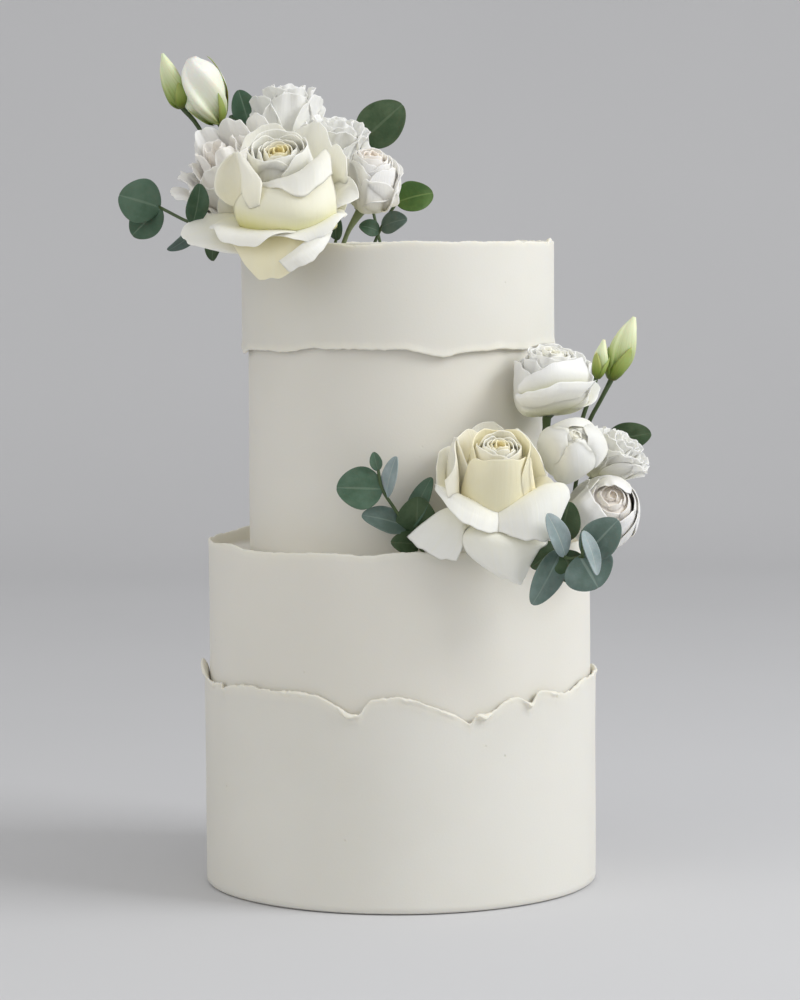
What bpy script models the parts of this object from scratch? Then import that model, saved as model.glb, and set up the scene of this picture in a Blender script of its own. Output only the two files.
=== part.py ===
"""A two-tier wedding cake in torn layers of ivory icing, with garden roses, spray
flowers, buds and eucalyptus on its top and on its ledge. Metres, +Z up. The front
faces -Y, and the origin is the centre of the cake's bottom face."""
import math

import bmesh
import bpy
import numpy as np
from mathutils import Vector

MM = 0.001

# Driving sizes of the two tiers, in millimetres
GAP = 0.3
RING_GAP = 0.5
LOWER_RADIUS = 97.3
LOWER_TOP = 169.0
LOWER_RIM = 175.6
WRAP_RADIUS = 100.0
WRAP_EDGE = 106.5
UPPER_RADIUS = 76.2
UPPER_TOP = 320.0
UPPER_RIM = 325.3
BAND_RADIUS = 79.4
BAND_LOW_EDGE = 273.2
BAND_HIGH_EDGE = 325.8
RIM_WALL = 2.6
FOOT_CLEARANCE = 0.5

# Thickness of the parts of the flowers, in millimetres
PETAL_WALL = 1.1
LEAF_WALL = 0.9
STEM_RADIUS = 1.3

# Faces that meet at less than one of these angles, in degrees, are joined after a union
FLAT_ANGLES = (9.0, 7.0, 5.0, 3.0, 1.0)

# Colours of the materials: red, green, blue and roughness
ICING = (0.80, 0.77, 0.68, 0.75)
IVORY_PETAL = (0.86, 0.83, 0.70, 0.55)
WHITE_PETAL = (0.86, 0.86, 0.84, 0.55)
BLUSH_PETAL = (0.86, 0.82, 0.78, 0.55)
BUD_GREEN = (0.45, 0.56, 0.20, 0.5)
LEAF_GREEN = (0.10, 0.18, 0.13, 0.5)

for leftover in list(bpy.data.objects):
    bpy.data.objects.remove(leftover)
cake = bpy.data.collections.new("wedding_cake")
bpy.context.scene.collection.children.link(cake)


def material(name, look):
    """Principled material of one colour."""
    made = bpy.data.materials.new(name)
    made.use_nodes = True
    shader = made.node_tree.nodes["Principled BSDF"]
    shader.inputs["Base Color"].default_value = (look[0], look[1], look[2], 1.0)
    shader.inputs["Roughness"].default_value = look[3]
    shader.inputs["Metallic"].default_value = 0.0
    return made


def sheet(points):
    """Bmesh of a grid whose corners are moved to points, an array of rows by columns
    by 3 in metres. Rows and columns that meet are welded."""
    rows, columns = points.shape[:2]
    bm = bmesh.new()
    bmesh.ops.create_grid(bm, x_segments=columns - 1, y_segments=rows - 1, size=0.5)
    for corner in bm.verts:
        column = round((corner.co.x + 0.5) * (columns - 1))
        row = round((corner.co.y + 0.5) * (rows - 1))
        corner.co = Vector(points[row, column])
    bmesh.ops.remove_doubles(bm, verts=bm.verts, dist=0.00002)
    bmesh.ops.dissolve_degenerate(bm, edges=bm.edges, dist=0.00001)
    return bm


def new_object(name, bm, look, home=cake):
    """Object of a bmesh, smooth shaded, in a collection."""
    mesh = bpy.data.meshes.new(name)
    bm.to_mesh(mesh)
    bm.free()
    mesh.shade_smooth()
    mesh.set_sharp_from_angle(angle=math.radians(40))
    mesh.materials.append(look)
    made = bpy.data.objects.new(name, mesh)
    home.objects.link(made)
    return made


def closed(bm):
    """The same bmesh in triangles with its faces pointing out."""
    bmesh.ops.triangulate(bm, faces=bm.faces)
    bmesh.ops.recalc_face_normals(bm, faces=bm.faces)
    return bm


# The tiers are turned solids. Their torn edges rise and fall round the cake as slow
# waves with a few deeper tears, each given by its angle from the front, its depth
# and the widths of its left and right flanks.
def torn(turn, level, waves, tears):
    """Height in millimetres at the angles turn, in degrees, right of the front."""
    height = np.full_like(turn, level)
    for count, size, shift in waves:
        height = height + size * np.sin(np.radians(count * turn + shift))
    for middle, depth, left, right in tears:
        away = (turn - middle + 180.0) % 360.0 - 180.0
        flank = np.where(away < 0.0, left, right)
        height = height - depth * np.exp(-(away / flank) ** 2)
    return height


def turned(name, segments, profile, look):
    """Solid whose section at each angle is profile(turn), a list of pairs of arrays:
    radius and height in millimetres."""
    turn = np.linspace(-180.0, 180.0, segments + 1)
    angle = np.radians(turn)
    rows = []
    for radius, height in profile(turn):
        radius = radius + 0.0 * turn
        height = height + 0.0 * turn
        rows.append(np.stack([radius * np.sin(angle), -radius * np.cos(angle), height], axis=-1))
    return new_object(name, closed(sheet(np.array(rows) * MM)), look)


def lower_tier_section(turn):
    rim = torn(turn, LOWER_RIM, [(5, 0.5, 40), (11, 0.4, 10), (17, 0.3, 80)], [(-45, 1.0, 10, 6), (118, 1.4, 8, 12)])
    return [(0.0, 0.0), (LOWER_RADIUS, 0.0), (LOWER_RADIUS, rim - 0.5), (LOWER_RADIUS - 0.9, rim),
            (LOWER_RADIUS - 2.0, rim - 0.2), (LOWER_RADIUS - RIM_WALL, LOWER_TOP), (0.0, LOWER_TOP)]


def wrap_edge(turn):
    return torn(turn, WRAP_EDGE, [(3, 1.3, 200), (13, 0.5, 30), (23, 0.4, 90)],
                [(-12, 8.5, 9, 3.5), (7, 2.0, 4, 4), (19, 12.0, 9, 9), (57, 5.0, 8, 7), (150, 7.0, 14, 9)])


def lower_wrap_section(turn):
    edge = wrap_edge(turn)
    inner = LOWER_RADIUS + RING_GAP
    flare = 0.7 + 0.5 * np.sin(np.radians(9.0 * turn + 50.0))
    return [(inner, FOOT_CLEARANCE), (WRAP_RADIUS, FOOT_CLEARANCE), (WRAP_RADIUS, edge - 5.0),
            (WRAP_RADIUS + flare, edge), (inner, edge - 2.5), (inner, FOOT_CLEARANCE)]


def upper_tier_section(turn):
    foot = LOWER_TOP + GAP
    return [(0.0, foot), (UPPER_RADIUS, foot), (UPPER_RADIUS, UPPER_RIM - 0.6), (UPPER_RADIUS - 0.6, UPPER_RIM - 0.2),
            (UPPER_RADIUS - RIM_WALL, UPPER_TOP), (0.0, UPPER_TOP)]


def upper_band_section(turn):
    low = torn(turn, BAND_LOW_EDGE, [(4, 0.9, 150), (11, 0.5, 60), (19, 0.3, 10)], [(15, 2.2, 12, 8), (-79, 2.0, 10, 8)])
    high = torn(turn, BAND_HIGH_EDGE, [(6, 0.4, 100), (15, 0.35, 20), (29, 0.25, 75)], [(-14, 1.9, 8, 10), (63, 0.6, 9, 8)])
    inner = UPPER_RADIUS + RING_GAP
    return [(inner, low + 2.0), (BAND_RADIUS - 0.3, low), (BAND_RADIUS, low + 1.5),
            (BAND_RADIUS, high - 0.5), (inner, high), (inner, low + 2.0)]


icing = material("icing", ICING)
turned("lower_tier", 56, lower_tier_section, icing)
turned("lower_wrap", 72, lower_wrap_section, icing)
turned("upper_tier", 56, upper_tier_section, icing)
turned("upper_band", 60, upper_band_section, icing)


# Each flower stands in a frame of its own: its axis leans towards the front and to
# the right, and azimuths turn from the front to the right. A petal's midline is a
# curve in the plane of its azimuth, from the flower's base to the petal's tip.
def flower_axes(lean_front, lean_right):
    """Rows of a turn matrix: the flower's right, its back and its axis."""
    front = math.radians(lean_front)
    right = math.radians(lean_right)
    axis = np.array([math.sin(right) * math.cos(front), -math.sin(front), math.cos(right) * math.cos(front)])
    ahead = np.array([0.0, -1.0, 0.0])
    ahead = ahead - axis * (ahead @ axis)
    ahead = ahead / np.linalg.norm(ahead)
    return np.array([np.cross(axis, ahead), -ahead, axis])


def running_sum(values, axis):
    """Trapezoid sums along an axis, from 0, for a whole length of 1."""
    moved = np.moveaxis(values, axis, 0)
    total = np.zeros_like(moved)
    total[1:] = np.cumsum((moved[1:] + moved[:-1]) / 2.0, axis=0) / (len(moved) - 1)
    return np.moveaxis(total, 0, axis)


def petal(azimuth, tip_out, tip_up, start, end, width, rows=3, columns=4, roll=0.6, wrap=0.7,
          base_out=2.5, near=0.5, far=0.4, rounded=0.28, frill=0.0, tuck=1.4):
    """Grid of a petal in its flower's frame, in millimetres. start and end are the
    midline's leans from the axis in degrees, at its foot and at its tip. wrap 1 bends
    it round the axis, roll turns its side edges outwards, and tuck moves its right
    edge in and its left edge out, so that neighbours overlap like tiles."""
    foot = np.array([base_out, 0.0])
    tip = np.array([tip_out, tip_up])
    chord = np.linalg.norm(tip - foot)
    first = foot + near * chord * np.array([math.sin(math.radians(start)), math.cos(math.radians(start))])
    last = tip - far * chord * np.array([math.sin(math.radians(end)), math.cos(math.radians(end))])
    t = np.linspace(0.0, 1.0, 41)[:, None]
    line = foot * (1 - t) ** 3 + 3 * first * t * (1 - t) ** 2 + 3 * last * t ** 2 * (1 - t) + tip * t ** 3
    steps = np.diff(line, axis=0)
    along = np.concatenate([[0.0], np.cumsum(np.hypot(steps[:, 0], steps[:, 1]))])
    heading = np.arctan2(np.gradient(line[:, 0]), np.gradient(line[:, 1]))
    v = np.linspace(0.0, 1.0, rows + 1)[:, None]
    u = np.linspace(-1.0, 1.0, columns + 1)[None, :]
    reach = v * along[-1] * (1.0 - rounded * np.abs(u) ** 2.4)
    out = np.interp(reach, along, line[:, 0])
    up = np.interp(reach, along, line[:, 1])
    lean = np.interp(reach, along, np.unwrap(heading))
    half = 0.5 * width * (0.42 + 0.58 * np.sin(0.5 * math.pi * np.clip(v / 0.6, 0.0, 1.0)))
    half = half * (1.0 - 0.18 * np.clip((v - 0.7) / 0.3, 0.0, 1.0) ** 2)
    middle = np.interp(v * along[-1], along, line[:, 0])
    bend = np.clip(wrap * half / np.maximum(middle, 6.0), -2.2, 2.2) * u
    edge = np.clip((np.abs(u) - 0.4) / 0.6, 0.0, 1.0) ** 1.4 * np.clip(2.0 * v - 0.4, 0.0, 1.0)
    bend = bend - np.sign(u) * roll * edge
    centre = columns // 2
    across = running_sum(np.cos(bend), 1)
    across = (across - across[:, centre:centre + 1]) * 2.0 * half
    inward = running_sum(np.sin(bend), 1)
    inward = (inward - inward[:, centre:centre + 1]) * 2.0 * half
    inward = inward + frill * v ** 2 * np.sin(2.6 * math.pi * u + 0.1 * azimuth)
    inward = inward + tuck * u * np.minimum(2.0 * v, 1.0)
    out = out - np.cos(lean) * inward
    up = up + np.sin(lean) * inward
    turn = math.radians(azimuth)
    x = out * math.sin(turn) + across * math.cos(turn)
    y = -out * math.cos(turn) + across * math.sin(turn)
    return np.stack([x, y, up], axis=-1)


def corolla(lobes, rim_out, rim_up, start, end, rows=2, step=0.9, notch=0.1, frill=0.0, near=0.5, far=0.4,
            base_out=2.5, first=0.0):
    """Grid of a whole ring of petals that overlap like tiles, closed round the axis, in
    its flower's frame, in millimetres. The ring steps inwards at each lobe's end."""
    foot = np.array([base_out, 0.0])
    rim = np.array([rim_out, rim_up])
    chord = np.linalg.norm(rim - foot)
    low = foot + near * chord * np.array([math.sin(math.radians(start)), math.cos(math.radians(start))])
    high = rim - far * chord * np.array([math.sin(math.radians(end)), math.cos(math.radians(end))])
    number = np.arange(3 * lobes + 1)
    across = (number % 3) / 3.0
    turn = np.radians(first + 120.0 * number / lobes)[None, :]
    v = np.linspace(0.0, 1.0, rows + 1)[:, None]
    t = v * (1.0 - notch * (np.abs(2.0 * across - 0.8) ** 2 + 0.3 * np.sin(2.0 + 5.0 * turn)))
    out = foot[0] * (1 - t) ** 3 + 3 * low[0] * t * (1 - t) ** 2 + 3 * high[0] * t ** 2 * (1 - t) + rim[0] * t ** 3
    up = foot[1] * (1 - t) ** 3 + 3 * low[1] * t * (1 - t) ** 2 + 3 * high[1] * t ** 2 * (1 - t) + rim[1] * t ** 3
    out = out + v * step * (1.6 * across - 0.6) + frill * v ** 2 * np.cos(math.pi * across * 3.0)
    return np.stack([out * np.sin(turn), -out * np.cos(turn), up + 0.0 * turn], axis=-1)


# Neighbours press on each other. Points that come near a limit are squeezed into
# the space in front of it, in their order, as crowded petals are.
def squeezed(distance, free, least):
    """Distances under free are mapped between least and free."""
    room = free - least
    return np.where(distance < free, least + room * np.exp((distance - free) / room), distance)


def behind_plane(points, middle, normal):
    """Points kept on the side of a plane that its normal points to."""
    distance = (points - middle) @ normal
    return points + (squeezed(distance, 7.0, 0.9) - distance)[..., None] * normal


def off_cylinder(points, radius, top, free=4.0, least=0.95):
    """Points kept outside an upright cylinder on the cake's axis."""
    flat = points[..., :2]
    out = np.linalg.norm(flat, axis=-1)
    side = out - radius
    over = points[..., 2] - top
    beyond = np.hypot(np.maximum(side, 0.0), np.maximum(over, 0.0))
    distance = np.where((side > 0.0) | (over > 0.0), beyond, np.maximum(side, over))
    share_side = np.where(distance > 0.0, np.maximum(side, 0.0), (side >= over) * 1.0)
    share_over = np.where(distance > 0.0, np.maximum(over, 0.0), (side < over) * 1.0)
    size = np.maximum(np.hypot(share_side, share_over), 1e-9)
    push = squeezed(distance, free, least) - distance
    moved = points.copy()
    moved[..., 2] += push * share_over / size
    moved[..., :2] += (push * share_side / size / np.maximum(out, 1e-9))[..., None] * flat
    return moved


def off_cake(points):
    points = off_cylinder(points, BAND_RADIUS, BAND_HIGH_EDGE + 0.6)
    points = off_cylinder(points, UPPER_RADIUS, BAND_HIGH_EDGE)
    return off_cylinder(points, WRAP_RADIUS - 2.4, LOWER_RIM + 1.6)


def largest_shell(bm):
    """The bmesh with only its largest connected shell, so that no sealed hollow or
    scrap stays."""
    for face in bm.faces:
        face.tag = False
    shells = []
    for seed in bm.faces:
        if seed.tag:
            continue
        seed.tag = True
        shell = [seed]
        for face in shell:
            for edge in face.edges:
                for other in edge.link_faces:
                    if not other.tag:
                        other.tag = True
                        shell.append(other)
        shells.append(shell)
    shells.sort(key=lambda shell: sum(face.calc_area() for face in shell))
    loose = [face for shell in shells[:-1] for face in shell]
    bmesh.ops.delete(bm, geom=loose, context="FACES")
    return bm


def flattened(bm):
    """The bmesh in triangles, with nearly flat neighbours joined first, as far as that
    leaves it closed."""
    for angle in FLAT_ANGLES:
        trial = bm.copy()
        bmesh.ops.dissolve_limit(trial, angle_limit=math.radians(angle), verts=trial.verts, edges=trial.edges)
        bmesh.ops.triangulate(trial, faces=trial.faces)
        if all(len(edge.link_faces) == 2 for edge in trial.edges):
            bm.free()
            return trial
        trial.free()
    bmesh.ops.triangulate(bm, faces=bm.faces)
    return bm


def fused(name, parts, look):
    """One solid from closed or solidified objects, by a union on their collection."""
    core = parts[0]
    pile = bpy.data.collections.new(name + "_pieces")
    for part in parts[1:]:
        cake.objects.unlink(part)
        pile.objects.link(part)
    bpy.context.scene.collection.children.link(pile)
    union = core.modifiers.new("union", "BOOLEAN")
    union.operand_type = "COLLECTION"
    union.collection = pile
    union.operation = "UNION"
    union.solver = "MANIFOLD"
    graph = bpy.context.evaluated_depsgraph_get()
    joined = bpy.data.meshes.new_from_object(core.evaluated_get(graph))
    bm = bmesh.new()
    bm.from_mesh(joined)
    largest_shell(bm)
    bm = flattened(bm)
    for part in parts:
        bpy.data.objects.remove(part)
    bpy.data.collections.remove(pile)
    return new_object(name, bm, look)


def solid_sheet(points, wall, look):
    """Object of an open sheet of points in millimetres, given its wall."""
    bm = sheet(points * MM)
    bmesh.ops.triangulate(bm, faces=bm.faces)
    made = new_object("sheet", bm, look)
    thick = made.modifiers.new("wall", "SOLIDIFY")
    thick.thickness = wall * MM
    thick.offset = 0.0
    return made


def tube_points(path, sides):
    """Grid of a closed tube whose path gives x, y, z and radius in millimetres."""
    path = np.array(path, dtype=float)
    middles = path[:, :3]
    headings = np.gradient(middles, axis=0)
    headings = headings / np.linalg.norm(headings, axis=1)[:, None]
    sideways = np.cross(headings, [0.31, 0.87, 0.38])
    sideways = sideways / np.linalg.norm(sideways, axis=1)[:, None]
    upward = np.cross(headings, sideways)
    angle = np.linspace(0.0, 2.0 * math.pi, sides + 1)[None, :, None]
    rings = middles[:, None] + path[:, None, 3:] * (np.cos(angle) * sideways[:, None] + np.sin(angle) * upward[:, None])
    first = np.repeat(middles[:1, None], sides + 1, axis=1)
    last = np.repeat(middles[-1:, None], sides + 1, axis=1)
    return np.concatenate([first, rings, last])


def tube(path, look, sides=8):
    """Object of a closed tube along a path."""
    return new_object("tube", closed(sheet(tube_points(path, sides) * MM)), look)


FLOWERS = {
    # name: base, lean to the front, lean to the right, middle of its bulk, radius of its bulk
    "top_rose": ((-50, -47, 335), 33, -4, (-51, -62, 354), 26),
    "top_lisianthus": ((-77, -22, 337), 6, -20, (-91, -20, 364), 18),
    "top_ruffle_back": ((-56, 18, 357), -4, 0, (-56, 18, 388), 18),
    "top_ruffle_right": ((-38, 0, 345), 12, 12, (-31, -2, 378), 15),
    "top_spray_rose": ((-21, -36, 338), 24, 20, (-8, -43, 356), 14),
    "side_rose": ((46, -84, 192), 30, 4, (48, -98, 213), 22),
    "side_spray_rose_upper": ((74, -56, 239), 16, 4, (76, -60, 259), 17),
    "side_spray_rose_round": ((83, -66, 213), 30, 2, (84, -73, 226), 15),
    "side_ruffle": ((97, -43, 206), 14, 38, (110, -47, 221), 15),
    "side_spray_rose_blush": ((97, -56, 187), 55, 24, (105, -68, 196), 19),
}


def crowd(name, points):
    """Points of a flower kept clear of its neighbours and of the cake."""
    middle = np.array(FLOWERS[name][3], dtype=float)
    radius = FLOWERS[name][4]
    for step in range(2):
        for other, (base, front, right, centre, size) in FLOWERS.items():
            away = middle - np.array(centre, dtype=float)
            distance = np.linalg.norm(away)
            if other == name or distance > 60.0:
                continue
            normal = away / distance
            limit = np.array(centre) + normal * distance * size / (size + radius)
            points = behind_plane(points, limit, normal)
        points = off_cake(points)
    return points


def flower(name, petals, tips, heart, stem, look):
    """One flower: petals in its frame, petals that end at given tips, a heart turned
    about its axis as pairs of height and radius, and a stem from its base down."""
    base, front, right, centre, size = FLOWERS[name]
    base = np.array(base, dtype=float)
    axes = flower_axes(front, right)
    for tip, start, end, width, form in tips:
        local = axes @ (np.array(tip, dtype=float) - base)
        azimuth = math.degrees(math.atan2(local[0], -local[1]))
        petals = petals + [petal(azimuth, math.hypot(local[0], local[1]), local[2], start, end, width, **form)]
    rises = [tuple(base + h * axes[2]) + (r,) for h, r in heart]
    core = tube_points([tuple(point) + (STEM_RADIUS,) for point in stem] + rises, 8)
    bulk = len(stem) + 1
    core[bulk:] = crowd(name, core[bulk:])
    parts = [new_object("core", closed(sheet(core * MM)), look)]
    for grid in petals:
        parts.append(solid_sheet(crowd(name, base + grid @ axes), PETAL_WALL, look))
    return fused(name, parts, look)


ivory = material("ivory_petal", IVORY_PETAL)
white = material("white_petal", WHITE_PETAL)
blush = material("blush_petal", BLUSH_PETAL)

# The large rose on top: a cupped heart, tall petals behind it, a petal folded over
# at the front, and wide outer petals that spread over the tier's edge and hang down
flower("top_rose",
       [corolla(3, 7, 43, 30, -5, near=0.3), corolla(5, 13, 44, 88, -22, rows=3, near=0.6, far=0.5, base_out=6, step=1.4)],
       [((-79, -66, 365), 85, 35, 42, dict(roll=1.3, wrap=1.0)),
        ((-50, -92, 349), 55, 150, 50, dict(roll=0.3, wrap=0.9, near=0.75, far=0.3)),
        ((-22, -60, 359), 80, 60, 32, dict(roll=0.8, wrap=0.9, columns=2)),
        ((-64, -34, 386), 80, 20, 36, dict(roll=0.4, wrap=1.0, columns=2)),
        ((-39, -36, 390), 80, 25, 38, dict(roll=0.4, wrap=1.0, columns=2)),
        ((-93, -84, 332), 70, 120, 48, dict(roll=1.0, wrap=0.4, near=0.7)),
        ((-105, -60, 328), 82, 100, 48, dict(roll=0.7, wrap=0.3)),
        ((-24, -88, 337), 55, 128, 50, dict(roll=0.8, wrap=0.5, near=0.7)),
        ((-58, -86, 308), 50, 158, 44, dict(roll=0.3, wrap=0.2, near=0.6, far=0.5))],
       [(0, 12), (2.5, 19), (7, 22.5), (14, 21), (24, 15), (32, 10), (37, 4)],
       [(-47, -42, 321.5), (-48, -44, 328)], ivory)

# The flowers round the large rose on top
flower("top_lisianthus",
       [corolla(4, 12, 46, 50, 0, frill=0.8, near=0.35)],
       [((-70, -18, 391), 60, 10, 26, dict(frill=1.2, columns=2)),
        ((-104, -18, 381), 80, 25, 32, dict(frill=1.2)),
        ((-113, -30, 352), 88, 62, 34, dict(wrap=0.3, roll=0.2)),
        ((-95, -42, 352), 85, 55, 28, dict(columns=2))],
       [(0, 5), (4, 12), (12, 14), (24, 8), (34, 4)],
       [(-68, -18, 321.5), (-72, -20, 329)], blush)
flower("top_ruffle_back",
       [corolla(5, 20, 44, 60, 45, frill=1.2, near=0.4), corolla(4, 9, 47, 40, 15, frill=0.8, near=0.25)],
       [], [(0, 5), (5, 13), (12, 14), (24, 8), (38, 4)],
       [(-52, 26, 321.5), (-54, 22, 340)], white)
flower("top_ruffle_right",
       [corolla(5, 18, 42, 60, 40, frill=1.2, near=0.4), corolla(4, 8, 44, 40, 15, frill=0.8, near=0.25)],
       [], [(0, 5), (5, 12), (12, 13), (24, 7), (36, 4)],
       [(-42, 5, 321.5), (-40, 3, 334)], white)
flower("top_spray_rose",
       [corolla(5, 17, 27, 88, 20, base_out=5, near=0.45, step=1.3), corolla(3, 7, 31, 40, -5, near=0.25)],
       [((2, -38, 357), 85, 60, 24, dict(columns=2))],
       [(0, 6), (2, 12), (6, 15), (12, 11), (26, 4)],
       [(-28, -34, 321.5), (-26, -35, 330)], blush)

# The large rose on the ledge: a goblet heart between two upright petals, and
# folded and pointed petals that spread in front of it
flower("side_rose",
       [corolla(3, 6, 42, 30, -5, near=0.3), corolla(5, 15, 41, 88, -4, rows=3, near=0.55, far=0.5, base_out=6, step=1.4)],
       [((27, -94, 231), 82, 18, 36, dict(roll=1.4, wrap=1.0)),
        ((44, -72, 238), 80, 20, 34, dict(roll=0.4, wrap=1.0, columns=2)),
        ((68, -77, 235), 80, 22, 32, dict(roll=0.4, wrap=1.0, columns=2)),
        ((22, -114, 201), 65, 122, 46, dict(roll=0.9, wrap=0.5, near=0.7)),
        ((79, -106, 206), 72, 112, 40, dict(roll=0.8, wrap=0.5)),
        ((69, -120, 187), 55, 125, 40, dict(roll=0.7, wrap=0.4, near=0.7)),
        ((57, -114, 164), 58, 150, 44, dict(roll=0.4, wrap=0.3, near=0.6, rounded=0.45)),
        ((5, -106, 182), 75, 112, 34, dict(roll=0.4, wrap=0.2, rounded=0.4))],
       [(0, 11), (2.5, 17), (7, 19.5), (14, 17), (24, 12), (32, 8), (37, 4)],
       [(40, -74, 171.5), (42, -79, 181)], ivory)

# The smaller flowers on the ledge
flower("side_spray_rose_upper",
       [corolla(5, 17, 31, 85, 5, rows=3, base_out=5, near=0.45, step=1.3), corolla(3, 8, 34, 40, -10, near=0.25)],
       [((99, -50, 256), 85, 75, 26, dict(columns=2))],
       [(0, 6), (2, 12), (7, 15), (14, 12), (28, 4)],
       [(60, -56, 171.5), (65, -55, 205), (71, -54, 226)], white)
flower("side_spray_rose_round",
       [corolla(5, 7, 28, 90, -50, rows=3, near=0.62, far=0.55, base_out=5, step=1.3)],
       [], [(0, 7), (2, 13), (6, 15), (14, 13), (22, 7), (26, 2)],
       [(70, -58, 171.5), (76, -61, 195)], white)
flower("side_ruffle",
       [corolla(5, 18, 23, 75, 60, frill=1.2, near=0.4), corolla(4, 8, 27, 40, 20, frill=0.8, near=0.25)],
       [], [(0, 4), (3, 9), (7, 10), (14, 6), (23, 3)],
       [(82, -36, 171.5), (88, -38, 188)], white)
flower("side_spray_rose_blush",
       [corolla(5, 13, 26, 90, -20, rows=3, near=0.6, far=0.5, base_out=5, step=1.4), corolla(3, 5, 29, 30, -10, near=0.25)],
       [], [(0, 8), (2, 14), (6, 16), (13, 13), (24, 4)],
       [(78, -44, 171.5), (84, -48, 180)], blush)

# The buds: slim and pointed, on dark stems
bud_green = material("bud_green", BUD_GREEN)


def bud(name, path):
    """Stem and bud in one turned solid that follows a path of x, y, z and radius."""
    made = tube(path, bud_green, 8)
    made.name = name
    made.data.name = name


bud("top_bud_closed",
    [(-82, 6, 338, 1.2), (-90, 4, 362, 1.2), (-100, -2, 384, 1.2), (-108, -7, 394, 1.6), (-109.5, -8, 398, 5.0),
     (-112, -9, 406, 5.6), (-115, -10, 414, 4.0), (-117.5, -10, 421.5, 0.8)])
bud("top_bud_opening",
    [(-76, 6, 342, 1.2), (-82, 3, 368, 1.2), (-89, -4, 385, 1.6), (-91, -7, 389, 6.0), (-94, -10, 397, 10.5),
     (-97, -12, 407, 10.0), (-99, -13, 414, 6.5), (-100, -14, 418, 2.5)])
bud("side_bud_tall",
    [(85, -26, 171.5, 1.2), (89, -27, 205, 1.2), (94, -33, 232, 1.2), (101, -37, 247, 1.2), (106, -39, 257, 1.6),
     (107.5, -40, 262, 5.0), (111, -40, 271, 6.5), (115, -40, 281, 4.5), (117.5, -40, 288, 1.0)])
bud("side_bud_small",
    [(76, -36, 171.5, 1.2), (82, -36, 205, 1.2), (91, -41, 236, 1.2), (96, -45, 252, 1.4), (99.3, -45.5, 262, 3.2),
     (100.8, -45, 269, 3.6), (102, -45, 277, 0.8)])

# Eucalyptus: round leaves on thin stems
leaf_green = material("eucalyptus_leaf", LEAF_GREEN)


def leaf(foot, tip, facing, width, cup=1.0, arch=1.5, columns=2):
    """Grid of a leaf from foot to tip, broad in the middle, cupped about its midrib."""
    rows = 4 if width > 15 else 3
    foot = np.array(foot, dtype=float)
    along = np.array(tip, dtype=float) - foot
    ahead = along / np.linalg.norm(along)
    side = np.cross(ahead, np.array(facing, dtype=float))
    side = side / np.linalg.norm(side)
    face = np.cross(side, ahead)
    v = np.linspace(0.0, 1.0, rows + 1)[:, None, None]
    u = np.linspace(-1.0, 1.0, columns + 1)[None, :, None]
    outline = np.sqrt(np.sin(math.pi * np.clip(v, 0.02, 0.98)))
    lift = cup * u ** 2 * outline + arch * 4.0 * v * (1.0 - v)
    return foot + along * v + side * (0.5 * width) * outline * u + face * lift


def sprig(name, stems, leaves):
    """Stems as paths and leaves as sheets, joined into one solid."""
    parts = []
    for stem in stems:
        parts.append(tube([tuple(point) + (1.0,) for point in stem], leaf_green, 5))
    for foot, tip, facing, width in leaves:
        parts.append(solid_sheet(leaf(foot, tip, facing, width), LEAF_WALL, leaf_green))
    fused(name, parts, leaf_green)


sprig("eucalyptus_top_left",
      [[(-63, -28, 321.5), (-70, -30, 329), (-78, -32, 331), (-90, -33, 332), (-103, -32, 336), (-119, -24, 344)],
       [(-98, -32, 334.7), (-101, -40, 334), (-101, -47, 336)]],
      [((-118.5, -24, 343.7), (-139, -23, 350), (0.3, -1, 0.1), 23),
       ((-118, -24.5, 343.5), (-133, -19, 330), (0.2, -1, 0.3), 17),
       ((-101, -46, 335.5), (-97, -50, 355), (0.5, -1, 0), 12),
       ((-98, -32, 334.6), (-115, -26, 322.5), (0, -0.6, -1), 9),
       ((-89, -33, 332), (-92, -36, 317), (-0.5, -1, 0.2), 10)])
sprig("eucalyptus_top_back",
      [[(-50, 48, 321.5), (-60, 49, 350), (-72, 48, 378), (-77, 46, 387)]],
      [((-76.5, 46, 386), (-82, 43, 405), (0.1, -1, 0.2), 14),
       ((-75, 47, 384), (-87, 40, 391), (-0.2, -0.6, 1), 9)])
sprig("eucalyptus_top_dark",
      [[(-8, 12, 321.5), (-14, 14, 350), (-19, 17, 377)]],
      [((-19, 17, 376.5), (3, 20, 396), (0.1, -1, 0.1), 23)])
sprig("eucalyptus_top_right",
      [[(-13, -24, 321.5), (-8, -24, 333), (0, -23, 346)]],
      [((-0.5, -23, 345.5), (18, -20, 350), (0.2, -1, 0.5), 17),
       ((-0.5, -22.5, 345), (-15, -17, 347), (0, -0.3, 1), 10),
       ((-8, -24, 333), (5, -31, 337), (0.2, -1, 0.5), 12),
       ((-9, -24, 331), (-19, -26, 334), (0, -1, 0.4), 9)])
sprig("eucalyptus_side_left",
      [[(14, -81, 171.5), (6, -84, 184), (-2, -90, 197), (-8, -93, 207), (-10, -94, 217)]],
      [((-8, -93, 207), (-30, -95, 208), (0, -1, 0.2), 21),
       ((-6, -92, 203), (-1, -96, 223), (-0.7, -1, 0), 9),
       ((-10, -94, 216), (-12, -94, 225), (0, -1, 0), 6),
       ((3.5, -85.5, 188), (-18, -94, 194.5), (0, -1, 0.6), 14),
       ((4.5, -85, 187), (16, -86, 212), (-0.6, -1, 0), 11),
       ((9, -83, 180), (15, -83, 194), (0, -1, 0), 10)])
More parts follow.
